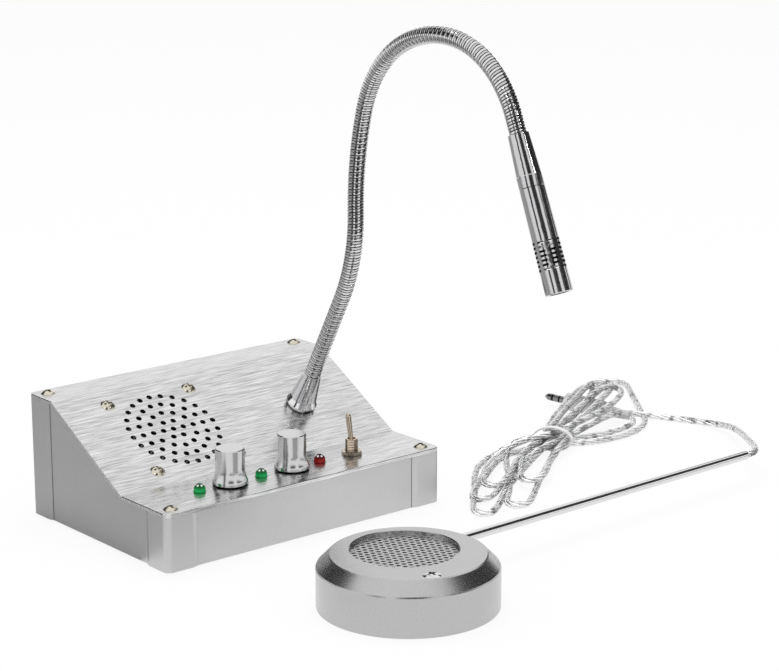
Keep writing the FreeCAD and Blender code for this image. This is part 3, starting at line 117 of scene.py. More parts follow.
# loops between the passes, left and right of the tie in turn
LOOPS = (
    ((-14.0, -6.0, 4.0), (-34.0, -7.0, 1.6), (-58.0, -11.0, 1.6), (-73.0, -14.0, 1.6),
     (-83.5, -15.0, 1.6), (-87.5, -11.5, 1.6), (-86.5, -6.5, 1.6), (-79.0, -4.0, 1.6),
     (-68.0, -1.5, 1.6), (-52.0, 4.0, 1.6), (-36.0, 11.0, 1.8), (-20.0, 16.5, 4.6), (-9.0, 13.5, 7.6)),
    ((14.0, 7.0, 6.8), (28.0, 8.0, 8.6), (48.0, 8.0, 10.3), (66.0, 8.5, 10.6), (77.0, 8.0, 10.2),
     (80.5, 4.0, 9.8), (78.0, -0.5, 9.6), (68.0, -1.0, 9.8), (52.0, 0.0, 10.3), (34.0, 0.5, 8.0),
     (14.0, 0.5, 6.2)),
    ((-14.0, 1.0, 4.6), (-36.0, 2.5, 1.8), (-62.0, 1.0, 1.6), (-78.0, -1.5, 1.6), (-91.0, -4.0, 1.6),
     (-100.5, -4.5, 1.6), (-104.0, 0.0, 1.6), (-99.5, 5.0, 1.6), (-88.0, 8.5, 1.6), (-76.0, 12.0, 1.6),
     (-58.0, 19.0, 1.6), (-38.0, 24.0, 1.6), (-18.0, 20.0, 3.2), (-9.0, 9.0, 7.4)),
    ((14.0, 4.0, 9.2), (36.0, 5.0, 10.2), (56.0, 5.0, 11.6), (72.0, 5.5, 11.6), (81.5, 5.0, 11.6),
     (85.0, 0.0, 11.4), (81.0, -5.5, 11.2), (70.0, -7.0, 11.2), (54.0, -6.5, 10.4), (36.0, -5.0, 8.6),
     (14.0, -3.5, 6.4)),
    ((-14.0, 1.0, 5.4), (-34.0, 4.5, 3.2), (-54.0, 4.5, 3.2), (-70.0, 2.5, 3.2), (-82.0, 1.5, 2.8),
     (-88.0, 5.0, 2.4), (-86.0, 10.5, 2.0), (-74.0, 13.0, 1.8), (-56.0, 15.5, 1.8), (-36.0, 19.5, 2.2),
     (-18.0, 16.0, 5.4), (-8.0, 6.0, 8.6)),
    ((14.0, 0.5, 9.0), (36.0, -1.0, 10.6), (52.0, -2.5, 12.6), (64.0, -3.0, 12.8), (72.0, -5.0, 12.6),
     (74.0, -10.0, 12.0), (68.5, -14.0, 11.4), (56.0, -13.5, 9.8), (34.0, -9.5, 8.8), (16.0, -2.5, 7.4)),
    ((-14.0, 6.0, 5.6), (-30.0, 7.0, 4.8), (-46.0, 4.5, 4.6), (-60.0, 1.5, 4.6), (-70.0, 1.5, 4.6),
     (-74.0, 6.0, 4.6), (-70.0, 11.0, 4.4), (-58.0, 13.0, 4.2), (-40.0, 15.5, 3.6), (-22.0, 15.0, 3.4),
     (-10.0, 7.0, 3.0)),
    ((14.0, 2.0, 4.6), (36.0, 0.0, 8.0), (56.0, 0.0, 9.8), (74.0, 3.0, 9.0), (90.0, 8.5, 6.4),
     (104.0, 12.5, 3.4), (115.0, 11.5, 1.8), (121.5, 5.0, 1.6), (117.0, -2.5, 1.6), (103.0, -8.5, 1.6),
     (88.0, -15.5, 1.6), (72.0, -22.5, 1.6), (60.0, -28.5, 1.6), (46.0, -30.5, 1.6), (32.0, -27.0, 1.6),
     (18.0, -18.5, 1.6), (9.0, -9.0, 2.0)),
    ((-14.0, -5.0, 3.6), (-28.0, -7.5, 4.4), (-42.0, -10.5, 4.6), (-54.0, -12.0, 4.4),
     (-60.0, -8.5, 4.2), (-59.0, -3.5, 4.2), (-50.0, -0.5, 4.4), (-38.0, 3.0, 4.6), (-24.0, 7.0, 4.6),
     (-12.0, 4.0, 3.6)),
)
# the last of these is on the line of the plug's strain relief
PLUG_TAIL = ((14.0, -6.5, 2.0), (27.0, -14.5, 1.6), (38.5, -21.5, 1.6), (51.4, -27.2, 3.2))

# ---------------------------------------------------------------- node graphs
MIX_SHARE = 0              # sockets of a Mix node that mixes colours
MIX_FIRST = 6
MIX_SECOND = 7
MIX_RESULT = 2


class Signal:
    """An output socket that takes part in sums."""

    def __init__(self, graph, socket):
        self.graph = graph
        self.socket = socket

    def __add__(self, other):
        return self.graph.maths("ADD", self, other)

    def __radd__(self, other):
        return self.graph.maths("ADD", other, self)

    def __sub__(self, other):
        return self.graph.maths("SUBTRACT", self, other)

    def __rsub__(self, other):
        return self.graph.maths("SUBTRACT", other, self)

    def __mul__(self, other):
        return self.graph.maths("MULTIPLY", self, other)

    def __rmul__(self, other):
        return self.graph.maths("MULTIPLY", other, self)


class Graph:
    """The nodes of one material or world."""

    def __init__(self, owner):
        owner.use_nodes = True
        self.nodes = owner.node_tree.nodes
        self.links = owner.node_tree.links

    def plug(self, value, socket):
        if isinstance(value, Signal):
            self.links.new(value.socket, socket)
        else:
            socket.default_value = value

    def node(self, kind, settings=(), values=(), output=0):
        """Adds a node: its settings first, then the values or links of its sockets."""
        made = self.nodes.new(kind)
        for name, value in dict(settings).items():
            if name == "stops":
                self.set_stops(made.color_ramp, value)
            else:
                setattr(made, name, value)
        for name, value in dict(values).items():
            self.plug(value, made.inputs[name])
        return Signal(self, made.outputs[output])

    def set_stops(self, ramp, stops):
        while len(ramp.elements) < len(stops):
            ramp.elements.new(1.0)
        for element, (place, tone) in zip(ramp.elements, stops):
            element.position = place
            element.color = (tone, tone, tone, 1.0)

    def maths(self, operation, first, second):
        return self.node("ShaderNodeMath", {"operation": operation}, {0: first, 1: second})

    def vector_maths(self, operation, first, second=(0.0, 0.0, 0.0), output="Vector"):
        return self.node("ShaderNodeVectorMath", {"operation": operation}, {0: first, 1: second}, output)

    def clamp(self, signal):
        return self.node("ShaderNodeClamp", {}, {"Value": signal})

    def mixed(self, share, first, second):
        """From the first colour to the second as the share goes from 0 to 1."""
        values = {MIX_SHARE: share, MIX_FIRST: first, MIX_SECOND: second}
        return self.node("ShaderNodeMix", {"data_type": "RGBA"}, values, MIX_RESULT)

    def blend(self, share, first, second):
        """As mixed, for two plain colours of three numbers."""
        return self.mixed(share, (*first, 1.0), (*second, 1.0))

    def place(self, scale=(1.0, 1.0, 1.0)):
        coordinates = self.node("ShaderNodeTexCoord", output="Object")
        return self.node("ShaderNodeMapping", {}, {"Vector": coordinates, "Scale": scale})

    def axis(self, letter):
        return self.node("ShaderNodeSeparateXYZ", {}, {"Vector": self.place()}, letter)

    def noise(self, where, scale, detail=2.0, roughness=0.5):
        values = {"Vector": where, "Scale": scale, "Detail": detail, "Roughness": roughness}
        return self.node("ShaderNodeTexNoise", {}, values, "Fac")


# ---------------------------------------------------------------- kinds of finish
# painted shade in creases, from ambient occlusion
CREASE_REACH = 0.9         # millimetres over which a crease is shut in
CREASE_SAMPLES = 4
CREASE_SHADE = 0.12        # share of the colour that is left as painted shade in a closed crease
CREASE_GAIN = 1.7          # the open share times this, less the start, is how much of the colour shows
CREASE_START = 0.55
HAIRLINE_GAIN = 3.2        # spreads the noise, which keeps near its middle, over dark and light
HAIRLINE_SPREAD = 0.16     # of the roughness
FINE_ALONG = 2.0           # the finer hairlines are this much closer
FINE_ACROSS = 2.5
GRAIN_SPREAD = 0.1
CLOUD_SIZE = 30.0          # faint clouds of tone, in grains
CLOUD_SHARE = 0.4
# painted light and shade up the dome, as (share of height, tone)
LENS_STOPS = ((0.0, 0.1), (0.1, 0.7), (0.3, 0.75), (0.5, 0.32), (0.75, 0.08), (1.0, 0.03))
LENS_GRAIN = 0.2           # share of the tone that is uneven
LENS_DEEP = 0.06           # times the lens's colour, for the painted shade and painted light
LENS_BRIGHT = 1.9
GLINTS = 6                 # painted highlights: bright specks round the dome
GLINT_START = -65.0
GLINT_OUT = 1.6
GLINT_UP = 3.0
GLINT_R = 0.6
GLINT_FULL = 0.5           # share of a glint's radius that is full bright
GLINT_COLOR = (0.9, 0.95, 0.9, 1.0)
# painted shade at the bottom of the neck's grooves, times the colour
GROOVE_SHADE = 0.04
DASH_SCALE = 230.0         # dark stretches of painted shade on the strands, per metre
DASH_START = 0.54
DASH_GAIN = 7.0
DASH_SHADE = 0.3
PIN_STOPS = ((0.0, 0.0), (0.3, 0.0), (0.31, 1.0), (0.37, 1.0), (0.38, 0.0), (0.6, 0.0), (0.61, 1.0),
             (0.67, 1.0), (0.68, 0.0))
PIN_ROUGHNESS = 0.16
PIN_SPREAD = 0.08


def shade(color, factor):
    return tuple(min(1.0, c * factor) for c in color)


class Finish(Graph):
    """A surface finish: one Principled shader with what varies over the surface linked to it."""

    def __init__(self, name, color, **settings):
        self.name = name
        self.color = color
        self.material = bpy.data.materials.new(name)
        super().__init__(self.material)
        self.shader = self.nodes["Principled BSDF"]
        self.set(Base_Color=(*color, 1.0), **settings)

    def set(self, **values):
        for socket, value in values.items():
            self.plug(value, self.shader.inputs[socket.replace("_", " ")])
        return self

    def toned(self, signal, contrast):
        """The colour, from darker to lighter by the contrast as the signal goes from 0 to 1."""
        return self.blend(signal, shade(self.color, 1 - contrast), shade(self.color, 1 + contrast))

    def painted_crease_shade(self, open_color):
        """The colour with painted shade: darker in recesses, slots and joints narrower than the reach."""
        values = {"Distance": CREASE_REACH * MM}
        open_share = self.node("ShaderNodeAmbientOcclusion", {"samples": CREASE_SAMPLES}, values, "AO")
        shut = (*shade(self.color, CREASE_SHADE), 1.0)
        share = self.clamp(open_share * CREASE_GAIN - CREASE_START)
        return self.set(Base_Color=self.mixed(share, shut, open_color))

    def roughened(self, signal, middle, spread):
        """Roughness that follows a signal, evenly to both sides of its middle."""
        return self.set(Roughness=middle - spread / 2 + signal * spread)

    def bumps(self, height, depth_mm):
        values = {"Strength": 1.0, "Distance": depth_mm * MM, "Height": height}
        return self.set(Normal=self.node("ShaderNodeBump", {}, values, "Normal"))


def brushed(name, color, roughness, along, across, depth_mm, contrast):
    """Metal with straight hairlines: noise drawn out along X, at lines per metre along and across."""
    finish = Finish(name, color, Metallic=1.0)
    lines = finish.noise(finish.place((along, across, across)), 1.0, roughness=0.6)
    fine_across = across * FINE_ACROSS
    fine = finish.noise(finish.place((along * FINE_ALONG, fine_across, fine_across)), 1.0)
    both = finish.clamp((lines * 0.5 + fine * 0.5 - 0.5) * HAIRLINE_GAIN + 0.5)
    # painted shade in creases, over the hairlines' tone
    finish.painted_crease_shade(finish.toned(both, contrast))
    finish.roughened(both, roughness, HAIRLINE_SPREAD)
    return finish.bumps(both, depth_mm)


def grained(name, color, roughness, scale, depth_mm=0.01, contrast=0.04, crease=True, **settings):
    """Fine even grain, for blasted, anodised, plated and moulded surfaces."""
    finish = Finish(name, color, **settings)
    where = finish.place()
    grain = finish.noise(where, scale, detail=3.0, roughness=0.6)
    cloud = finish.noise(where, scale / CLOUD_SIZE)
    toned = finish.toned(cloud * CLOUD_SHARE + grain * (1 - CLOUD_SHARE), contrast)
    # metal gets painted shade in its creases
    if crease and settings.get("Metallic"):
        finish.painted_crease_shade(toned)
    else:
        finish.set(Base_Color=toned)
    finish.roughened(grain, roughness, GRAIN_SPREAD)
    return finish.bumps(grain, depth_mm)


def ringed(name, color, roughness, scale, pitch_mm, depth_mm):
    """Metal with fine rings round an upright axis, as a screw thread has."""
    finish = grained(name, color, roughness, scale, Metallic=1.0)
    half = pitch_mm * MM / 2
    ring = finish.maths("PINGPONG", finish.axis("Z"), half)
    return finish.bumps(ring * (1 / half), depth_mm)


def punched(name, color, roughness, scale, contrast):
    """Metal with the rounded lip that a punch leaves round each hole of the outer unit's grille."""
    finish = grained(name, color, roughness, scale, contrast=contrast, crease=False, Metallic=1.0)
    x = finish.axis("X") - (PUCK_AT[0] + PUCK_GRILLE[0]) * MM
    y = finish.axis("Y") - (PUCK_AT[1] + PUCK_GRILLE[1]) * MM
    half = PUCK_PITCH * MM / 2
    row = PUCK_PITCH * MM * math.sqrt(3) / 2
    away = []
    for shift_x, shift_y in ((0.0, 0.0), (half, row)):
        across = finish.maths("PINGPONG", x + shift_x, half)
        along = finish.maths("PINGPONG", y + shift_y, row)
        offset = finish.node("ShaderNodeCombineXYZ", {}, {"X": across, "Y": along})
        away.append(finish.vector_maths("LENGTH", offset, output="Value"))
    nearest = finish.maths("MINIMUM", *away)
    rise = finish.clamp((nearest - PUCK_HOLE_R * MM) * (1 / (PUNCH_LIP * MM)))
    return finish.bumps(rise, PUNCH_DEPTH)


def glint_places(places):
    """The middles of the painted glints round each dome, in metres."""
    for x in places:
        for number in range(GLINTS):
            angle = math.radians(GLINT_START + number * 360 / GLINTS)
            across = x + GLINT_OUT * math.sin(angle)
            yield Vector((across, ROW_Y - GLINT_OUT * math.cos(angle), LEDGE_Z + GLINT_UP)) * MM


def lamp_lens(name, color, scale, places):
    """Tinted clear dome with painted light low down, painted shade at the crown, and a ring of painted
    glints.
    """
    finish = Finish(name, color, Roughness=0.05, IOR=1.3)
    height = finish.clamp((finish.axis("Z") - LEDGE_Z * MM) * (1 / (LED_PROUD * MM)))
    # painted light and shade by height on the dome
    glow = finish.node("ShaderNodeValToRGB", {"stops": LENS_STOPS}, {"Fac": height}, "Color")
    speck = finish.noise(finish.place(), scale)
    tone = finish.clamp(glow + speck * LENS_GRAIN - LENS_GRAIN / 2)
    tinted = finish.blend(tone, shade(color, LENS_DEEP), shade(color, LENS_BRIGHT))
    fade = GLINT_R * MM * (1 - GLINT_FULL)
    # painted highlights
    glints = []
    for at in glint_places(places):
        away = finish.vector_maths("DISTANCE", finish.place(), tuple(at), "Value")
        glints.append(finish.clamp((GLINT_R * MM - away) * (1 / fade)))
    return finish.set(Base_Color=finish.mixed(finish.clamp(sum(glints)), tinted, GLINT_COLOR))


def grooved_wire(name, color, roughness, scale, depth_mm):
    """Bright wound wire, with painted shade in the grooves between its turns."""
    finish = grained(name, color, roughness, scale, depth_mm, Metallic=1.0)
    groove = finish.node("ShaderNodeAttribute", {"attribute_name": "groove"}, {}, "Fac")
    # painted shade in the grooves
    return finish.set(Base_Color=finish.blend(groove, color, shade(color, GROOVE_SHADE)))


def stranded(name, color):
    """Bright fine wires under the clear jacket, with dark stretches of painted shade at random along them."""
    finish = Finish(name, color, Metallic=1.0, Roughness=0.3)
    spots = finish.noise(finish.place(), DASH_SCALE, detail=1.0)
    # painted shade
    dash = finish.clamp((spots - DASH_START) * DASH_GAIN)
    return finish.set(Base_Color=finish.blend(dash, color, shade(color, DASH_SHADE)))


def banded_pin(name, metal, ring, scale):
    """Plug pin: polished metal with dark insulating rings."""
    finish = Finish(name, metal, Metallic=1.0)
    offset = finish.vector_maths("SUBTRACT", finish.place(), tuple(Vector(PLUG_ROOT) * MM))
    pin_axis = tuple(Vector(PLUG_DIRECTION).normalized())
    along = finish.vector_maths("DOT_PRODUCT", offset, pin_axis, "Value")
    share = finish.clamp(along * (1 / (PIN_L * MM)))
    dark = finish.node("ShaderNodeValToRGB", {"stops": PIN_STOPS}, {"Fac": share}, "Color")
    finish.roughened(finish.noise(finish.place(), scale), PIN_ROUGHNESS, PIN_SPREAD)
    return finish.set(Base_Color=finish.blend(dark, metal, ring))


# ---------------------------------------------------------------- finishes of this object
# name, colour, roughness, grains per metre, their depth in millimetres, contrast of tone
FINISHES = {finish.name: finish for finish in (
    brushed("brushed_plate", (0.66, 0.66, 0.665), 0.24, 60.0, 1300.0, 0.01, 0.4),
    grained("satin_aluminium", (0.6, 0.6, 0.605), 0.42, 1500.0, 0.008, 0.12, Metallic=1.0),
    grained("puck_satin", (0.51, 0.51, 0.515), 0.26, 2000.0, 0.006, 0.09, crease=False, Metallic=1.0),
    punched("puck_grille", (0.52, 0.52, 0.525), 0.26, 1500.0, 0.1),
    grained("bright_steel", (0.75, 0.75, 0.76), 0.12, 900.0, 0.002, Metallic=1.0),
    grained("collar_chrome", (0.78, 0.78, 0.79), 0.12, 900.0, 0.001, Metallic=1.0),
    grained("knob_turned", (0.64, 0.64, 0.645), 0.2, 1500.0, 0.001, Metallic=1.0),
    grooved_wire("neck_wire", (0.76, 0.76, 0.77), 0.12, 900.0, 0.002),
    grained("mic_satin", (0.62, 0.62, 0.63), 0.12, 2500.0, 0.002, Metallic=1.0),
    grained("zinc_yellow", (0.7, 0.66, 0.55), 0.2, 1500.0, 0.004, Metallic=1.0),
    grained("zinc_steel", (0.6, 0.61, 0.63), 0.34, 1500.0, Metallic=1.0),
    grained("nickel", (0.56, 0.48, 0.38), 0.1, 1200.0, 0.002, Metallic=1.0),
    ringed("nickel_thread", (0.74, 0.62, 0.5), 0.16, 1200.0, 0.75, 0.3),
    grained("ferrite", (0.03, 0.03, 0.032), 0.6, 1500.0),
    grained("cone_black", (0.012, 0.012, 0.012), 0.8, 1500.0, 0.03),
    grained("capsule_black", (0.015, 0.015, 0.015), 0.7, 2000.0),
    grained("black_plastic", (0.025, 0.025, 0.027), 0.45, 2200.0, 0.015),
    grained("board_green", (0.02, 0.17, 0.06), 0.4, 600.0, 0.01, 0.12),
    grained("black_rubber", (0.03, 0.03, 0.03), 0.75, 1200.0, 0.02),
    grained("tie_white", (0.85, 0.85, 0.84), 0.35, 900.0, 0.02),
    lamp_lens("green_lens", (0.01, 0.42, 0.1), 900.0, LED_X["green"]),
    lamp_lens("red_lens", (0.33, 0.012, 0.012), 900.0, LED_X["red"]),
    grained("clear_pvc", (0.97, 0.975, 0.97), 0.08, 300.0, 0.01, 0.02, Transmission_Weight=0.92, IOR=1.3),
    stranded("strand", (0.96, 0.96, 0.96)),
    grained("plug_pvc", (0.8, 0.81, 0.8), 0.3, 400.0, 0.02, 0.03, Transmission_Weight=0.35, IOR=1.4),
    banded_pin("plug_metal", (0.25, 0.25, 0.25), (0.012, 0.012, 0.012), 1500.0),
)}
FINISH_OF = {
    "brushed_plate": ("top_plate",),
    "satin_aluminium": ("front_panel", "rear_panel", "side_panels", "front_posts", "rear_posts", "base_plate",
                        "puck_cover"),
    "puck_satin": ("puck_shell",),
    "puck_grille": ("puck_grille",),
    "zinc_yellow": ("top_plate_screws", "speaker_screws"),
    "bright_steel": ("stem", "puck_face_screw"),
    "collar_chrome": ("gooseneck_collar",),
    "knob_turned": ("left_knob", "right_knob"),
    "nickel": ("toggle_nut", "toggle_lever"),
    "nickel_thread": ("toggle_switch",),
    "mic_satin": ("mic_sleeve", "mic_tube", "mic_grille"),
    "zinc_steel": ("base_plate_screws", "speaker_frame", "speaker_nuts", "volume_pots", "pot_nuts",
                   "collar_nut", "board_screws", "board_standoffs", "socket_nuts", "left_pot_shaft",
                   "right_pot_shaft", "cover_screws", "stem_clip", "puck_speaker"),
    "ferrite": ("speaker_magnet",),
    "cone_black": ("speaker_cone",),
    "capsule_black": ("mic_capsule", "puck_mic"),
    "black_plastic": ("power_socket", "audio_socket", "board_components"),
    "board_green": ("circuit_board",),
    "black_rubber": ("rubber_feet", "puck_pad"),
    "green_lens": ("green_lamps",),
    "red_lens": ("red_lamp",),
    "tie_white": ("cord_tie",),
    "plug_pvc": ("plug_body",),
    "plug_metal": ("plug_pin",),
}
MERGE = 0.001              # millimetres; nearer points of a new mesh become one
WELD = 0.002               # the same for the solids' loose triangles
EDGE_ANGLE = 28.0          # sharper edges stay edges in the shading
CRISP_ANGLE = 16.0         # for narrow chamfers and the edges of wires
CRISP_NODES = ("puck_shell", "front_posts", "rear_posts", "top_plate", "gooseneck_collar", "mic_sleeve",
               "mic_tube")
FLAT_NODES = ("front_panel", "side_panels", "base_plate", "circuit_board")


def smooth(piece, angle):
    piece.data.polygons.foreach_set("use_smooth", [True] * len(piece.data.polygons))
    edges = piece.modifiers.new("edges", "EDGE_SPLIT")
    edges.split_angle = math.radians(angle)


def dress(node, finish):
    """Gives a node its finish, and smooth shading between its true edges."""
    piece = NODES[node]
    piece.data.materials.clear()
    piece.data.materials.append(FINISHES[finish].material)
    if node in FLAT_NODES:
        return
    weld = piece.modifiers.new("weld", "WELD")
    weld.merge_threshold = WELD * MM
    smooth(piece, CRISP_ANGLE if node in CRISP_NODES else EDGE_ANGLE)
    if node in CRISP_NODES:
        piece.modifiers.new("flat faces", "WEIGHTED_NORMAL")


# ---------------------------------------------------------------- new objects
def put(name, data):
    made = bpy.data.objects.new(name, data)
    bpy.context.scene.collection.objects.link(made)
    return made


def put_mesh(name, bm, material):
    mesh = bpy.data.meshes.new(name)
    bm.to_mesh(mesh)
    bm.free()
    mesh.materials.append(material)
    return put(name, mesh)


# ---------------------------------------------------------------- camera
CAMERA_AT = (-597.04, -826.10, 342.73)
CAMERA_AZIMUTH = -39.6
CAMERA_ELEVATION = 14.64
CAMERA_ROLL = -0.15
LENS = 113.13
SENSOR = 36.0
NEAREST_SEEN = 0.05        # metres


def make_camera():
    azimuth = math.radians(CAMERA_AZIMUTH)
    elevation = math.radians(CAMERA_ELEVATION)
    back = Vector((math.sin(azimuth) * math.cos(elevation), -math.cos(azimuth) * math.cos(elevation),
                   math.sin(elevation)))
    right = Vector((math.cos(azimuth), math.sin(azimuth), 0))
    up = back.cross(right)
    turn = Matrix((right, up, back)).transposed() @ Matrix.Rotation(math.radians(CAMERA_ROLL), 3, "Z")
    data = bpy.data.cameras.new("camera")
    data.lens = LENS
    data.sensor_width = SENSOR
    data.clip_start = NEAREST_SEEN
    camera = put("camera", data)
    camera.location = Vector(CAMERA_AT) * MM
    camera.rotation_euler = turn.to_euler()
    bpy.context.scene.camera = camera


# ---------------------------------------------------------------- cord
def hank_point(along, across, height):
    """A point of the hank's own frame, in metres in the row frame."""
    angle = math.radians(HANK_ANGLE)
    x = HANK_AT[0] + along * math.cos(angle) - across * math.sin(angle)
    y = HANK_AT[1] + along * math.sin(angle) + across * math.cos(angle)
    return Vector((x, y, COUNTER_Z + height)) * MM


def hank_points():
    """Turn after turn of the tied hank: a pass through the tie, a loop, and the next pass."""
    points = []
    side = 1
    for number, (across, height) in enumerate(PASSES):
        points += [(side * PASS_HALF, across, height), (-side * PASS_HALF, across, height)]
        if number < len(LOOPS):
            points += LOOPS[number]
        side = -side
    return [hank_point(*point) for point in points]


def cord_points():
    """The cord's points from inside the stem, through the hank, to the plug, in metres."""
    angle = math.radians(STEM_ANGLE)
    along = Vector((math.cos(angle), math.sin(angle), 0))
    mouth = Vector(STEM_MOUTH)
    route = [mouth - along * CORD_IN_STEM, mouth + along * CORD_OUT, *map(Vector, CORD_ROUTE)]
    points = [point * MM for point in route]
    points += [hank_point(*point) for point in INCOMING]
    points += hank_points()
    points += [hank_point(*point) for point in PLUG_TAIL]
    tail = Vector(PLUG_ROOT) - Vector(PLUG_DIRECTION).normalized() * TAIL_FROM_PLUG
    return [*points, tail * MM]


def spline(name, points, radius, fineness, finish):
    """A round cord whose line is one NURBS spline with these control points."""
    data = bpy.data.curves.new(name, "CURVE")
    data.dimensions = "3D"
    data.resolution_u, data.bevel_resolution = fineness
    data.bevel_depth = radius
    data.use_fill_caps = True
    data.materials.append(FINISHES[finish].material)
    run = data.splines.new("NURBS")
    run.points.add(len(points) - 1)
    for place, point in zip(run.points, points):
        place.co = (*point, 1.0)
    run.order_u = SPLINE_ORDER
    run.use_endpoint_u = True
    return put(name, data)


def centreline(piece):
    """Points of the spline's own line, in metres."""
    radius = piece.data.bevel_depth
    piece.data.bevel_depth = 0.0
    bpy.context.view_layer.update()
    mesh = bpy.data.meshes.new_from_object(piece)
    line = [vertex.co.copy() for vertex in mesh.vertices]
    bpy.data.meshes.remove(mesh)
    piece.data.bevel_depth = radius
    return line


def evenly(line, step):
    """Points at equal steps along a line of points."""
    points = [line[0]]
    left = step
    for a, b in zip(line, line[1:]):
        length = (b - a).length
        walked = left
        while walked <= length:
            points.append(a.lerp(b, walked / length))
            walked += step
        left = walked - length
    return points


def twisted(line, radius, pitch, phase):
    """Points of a helix round a line, with the least turning of its frame."""
    side = Vector((0, 0, 1))
    points = []
    step = (line[1] - line[0]).length
    for number, here in enumerate(line[:-1]):
        forward = (line[number + 1] - here).normalized()
        side = (side - forward * side.dot(forward)).normalized()
        angle = phase + math.tau * number * step / pitch
        points.append(here + (side * math.cos(angle) + forward.cross(side) * math.sin(angle)) * radius)
    return points


def make_strands(line):
    steady = evenly(line, STRAND_PITCH / STRAND_TURN_POINTS * MM)
    strands = []
    for number in range(STRANDS):
        points = twisted(steady, STRAND_OFFSET * MM, STRAND_PITCH * MM, math.tau * number / STRANDS)
        strand = spline(f"cord_strand_{number + 1}", points, STRAND_R * MM, STRAND_FINENESS, "strand")
        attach(strand, "outer_unit")
        strands.append(strand)
    return strands


def make_cord():
    cord = spline("cord_jacket", cord_points(), CORD_R * MM, CORD_FINENESS, "clear_pvc")
    line = centreline(cord)
    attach(cord, "outer_unit")
    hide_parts("cord_tube", "cord_hank")
    strands = make_strands(line)


# ---------------------------------------------------------------- gooseneck
def heading(angle):
    return Vector((0, -math.cos(math.radians(angle)), math.sin(math.radians(angle))))


def neck_at(s):
    """Point in millimetres and heading in degrees at length s along the neck's centreline."""
    rise = COLLAR_UP * math.sin(math.radians(SLOPE))
    run = COLLAR_UP * math.cos(math.radians(SLOPE))
    point = Vector((COLLAR_X, BEND_Y + run, LEDGE_Z + rise))
    angle = 90.0 - SLOPE
    left = s
    for number, (length, turn) in enumerate(NECK_ARCS):
        last = number == len(NECK_ARCS) - 1
        step = left if last else min(left, length)
        part = turn * step / length
        half = math.radians(part / 2)
        chord = step * math.sin(half) / half if half else step
        point = point + heading(angle + part / 2) * chord
        angle += part
        left -= step
        if left <= 0:
            break
    return point, angle


def neck_length_at(point):
    """Length along the centreline nearest to a point in millimetres."""
    samples = [k * NECK_SAMPLE for k in range(int(NECK_TOTAL / NECK_SAMPLE))]
    return min(samples, key=lambda s: (neck_at(s)[0] - Vector(point)).length)


def wound_tube(first_turn, turns):
    """Whole turns of the wound wire round Z, in millimetres along it."""
    bm = bmesh.new()
    start = NECK_FROM + first_turn * NECK_PITCH
    groove = bm.verts.layers.float.new("groove")
    row = [bm.verts.new((NECK_R - depth, 0, start + share * NECK_PITCH)) for share, depth in NECK_WIRE]
    for vertex, (_, depth) in zip(row, NECK_WIRE):
        # share of painted shade at each point, more of it deeper in the groove
        vertex[groove] = min(1.0, depth / NECK_GROOVE) ** NECK_SHADE_CURVE
    edges = [bm.edges.new(pair) for pair in zip(row, row[1:])]
    bmesh.ops.spin(bm, geom=row + edges, cent=(0, 0, 0), axis=(0, 0, 1),
                   dvec=(0, 0, NECK_PITCH / NECK_STEPS), angle=math.tau * turns, steps=NECK_STEPS * turns,
                   use_duplicate=False)
    return bm


def bend_along_neck(bm):
    for vertex in bm.verts:
        point, angle = neck_at(vertex.co.z)
        across = Vector((1, 0, 0))
        outward = heading(angle).cross(across)
        vertex.co = (point + across * vertex.co.x + outward * vertex.co.y) * MM


def make_neck():
    """The winding in whole turns, from the middle of one link of the neck to the middle of the next."""
    joints = [neck_length_at(point) for point in NECK_JOINT_AT]
    middles = [(a + b) / 2 for a, b in zip(joints, joints[1:])]
    ends = [NECK_FROM, *middles, NECK_TOTAL + NECK_PITCH]
    whole = [round((end - NECK_FROM) / NECK_PITCH) for end in ends]
    for number, (first, last) in enumerate(zip(whole, whole[1:])):
        bm = wound_tube(first, last - first)
        bend_along_neck(bm)
        bmesh.ops.remove_doubles(bm, verts=bm.verts, dist=MERGE * MM)
        bmesh.ops.recalc_face_normals(bm, faces=bm.faces)
        piece = put_mesh(f"neck_winding_{number + 1}", bm, FINISHES["neck_wire"].material)
        smooth(piece, CRISP_ANGLE)
        start = neck_at(joints[number] - NECK_GIVE)[0] * MM
        end = neck_at(joints[number] + NECK_GIVE)[0] * MM
        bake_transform(piece)
        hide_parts(*NECK_REPLACES[number])


# ---------------------------------------------------------------- light, floor and surroundings, in metres
AMBIENT = 0.6
AIM = (0.05, -0.03, 0.05)
# name, place, width, power, seen in polished metal
LIGHTS = (("overhead", (0.1, 0.1, 1.9), 1.6, 20.0, False),
          ("spark_left", (-0.95, -0.7, 1.0), 0.07, 0.5, True),
          ("spark_right", (0.5, -1.3, 0.9), 0.07, 0.5, True))
FLOOR_TONE = 0.93
FLOOR_ROUGHNESS = 0.9
FLOOR_HALF = 6.0
FLOOR_DROP = 0.02          # millimetres below the counter, so that nothing that lies on it shares its face
FLOOR_GLOW = 0.9           # share of plain white in what is seen of the floor; the rest keeps the shadows
RING_R = 1.5
RING_CENTRE = (0.05, -0.05)
RING_RISE = 0.5            # millimetres above the counter
RING_STEPS = 12
TABLE_R = 0.27             # the pale table ends here for the mirror of polished metal
# walls and floor round the table that only polished metal sees, in degrees round to the camera's right:
# from, to, lowest and highest edge, tone
WALLS = ((-12.0, 24.0, 0.58, 1.7, 0.03), (48.0, 125.0, 0.5, 2.0, 0.03), (110.0, 160.0, 0.25, 1.1, 0.04),
         (-160.0, -95.0, 0.4, 1.8, 0.03), (-44.0, -31.0, 0.0, 0.9, 0.03))
# from, to, inner radius, tone
SURROUNDS = ((-12.0, 28.0, TABLE_R, 0.03), (60.0, 125.0, TABLE_R, 0.03), (-72.0, -32.0, TABLE_R, 0.03),
             (-150.0, -72.0, TABLE_R, 0.38), (-150.0, -60.0, 0.12, 0.5))


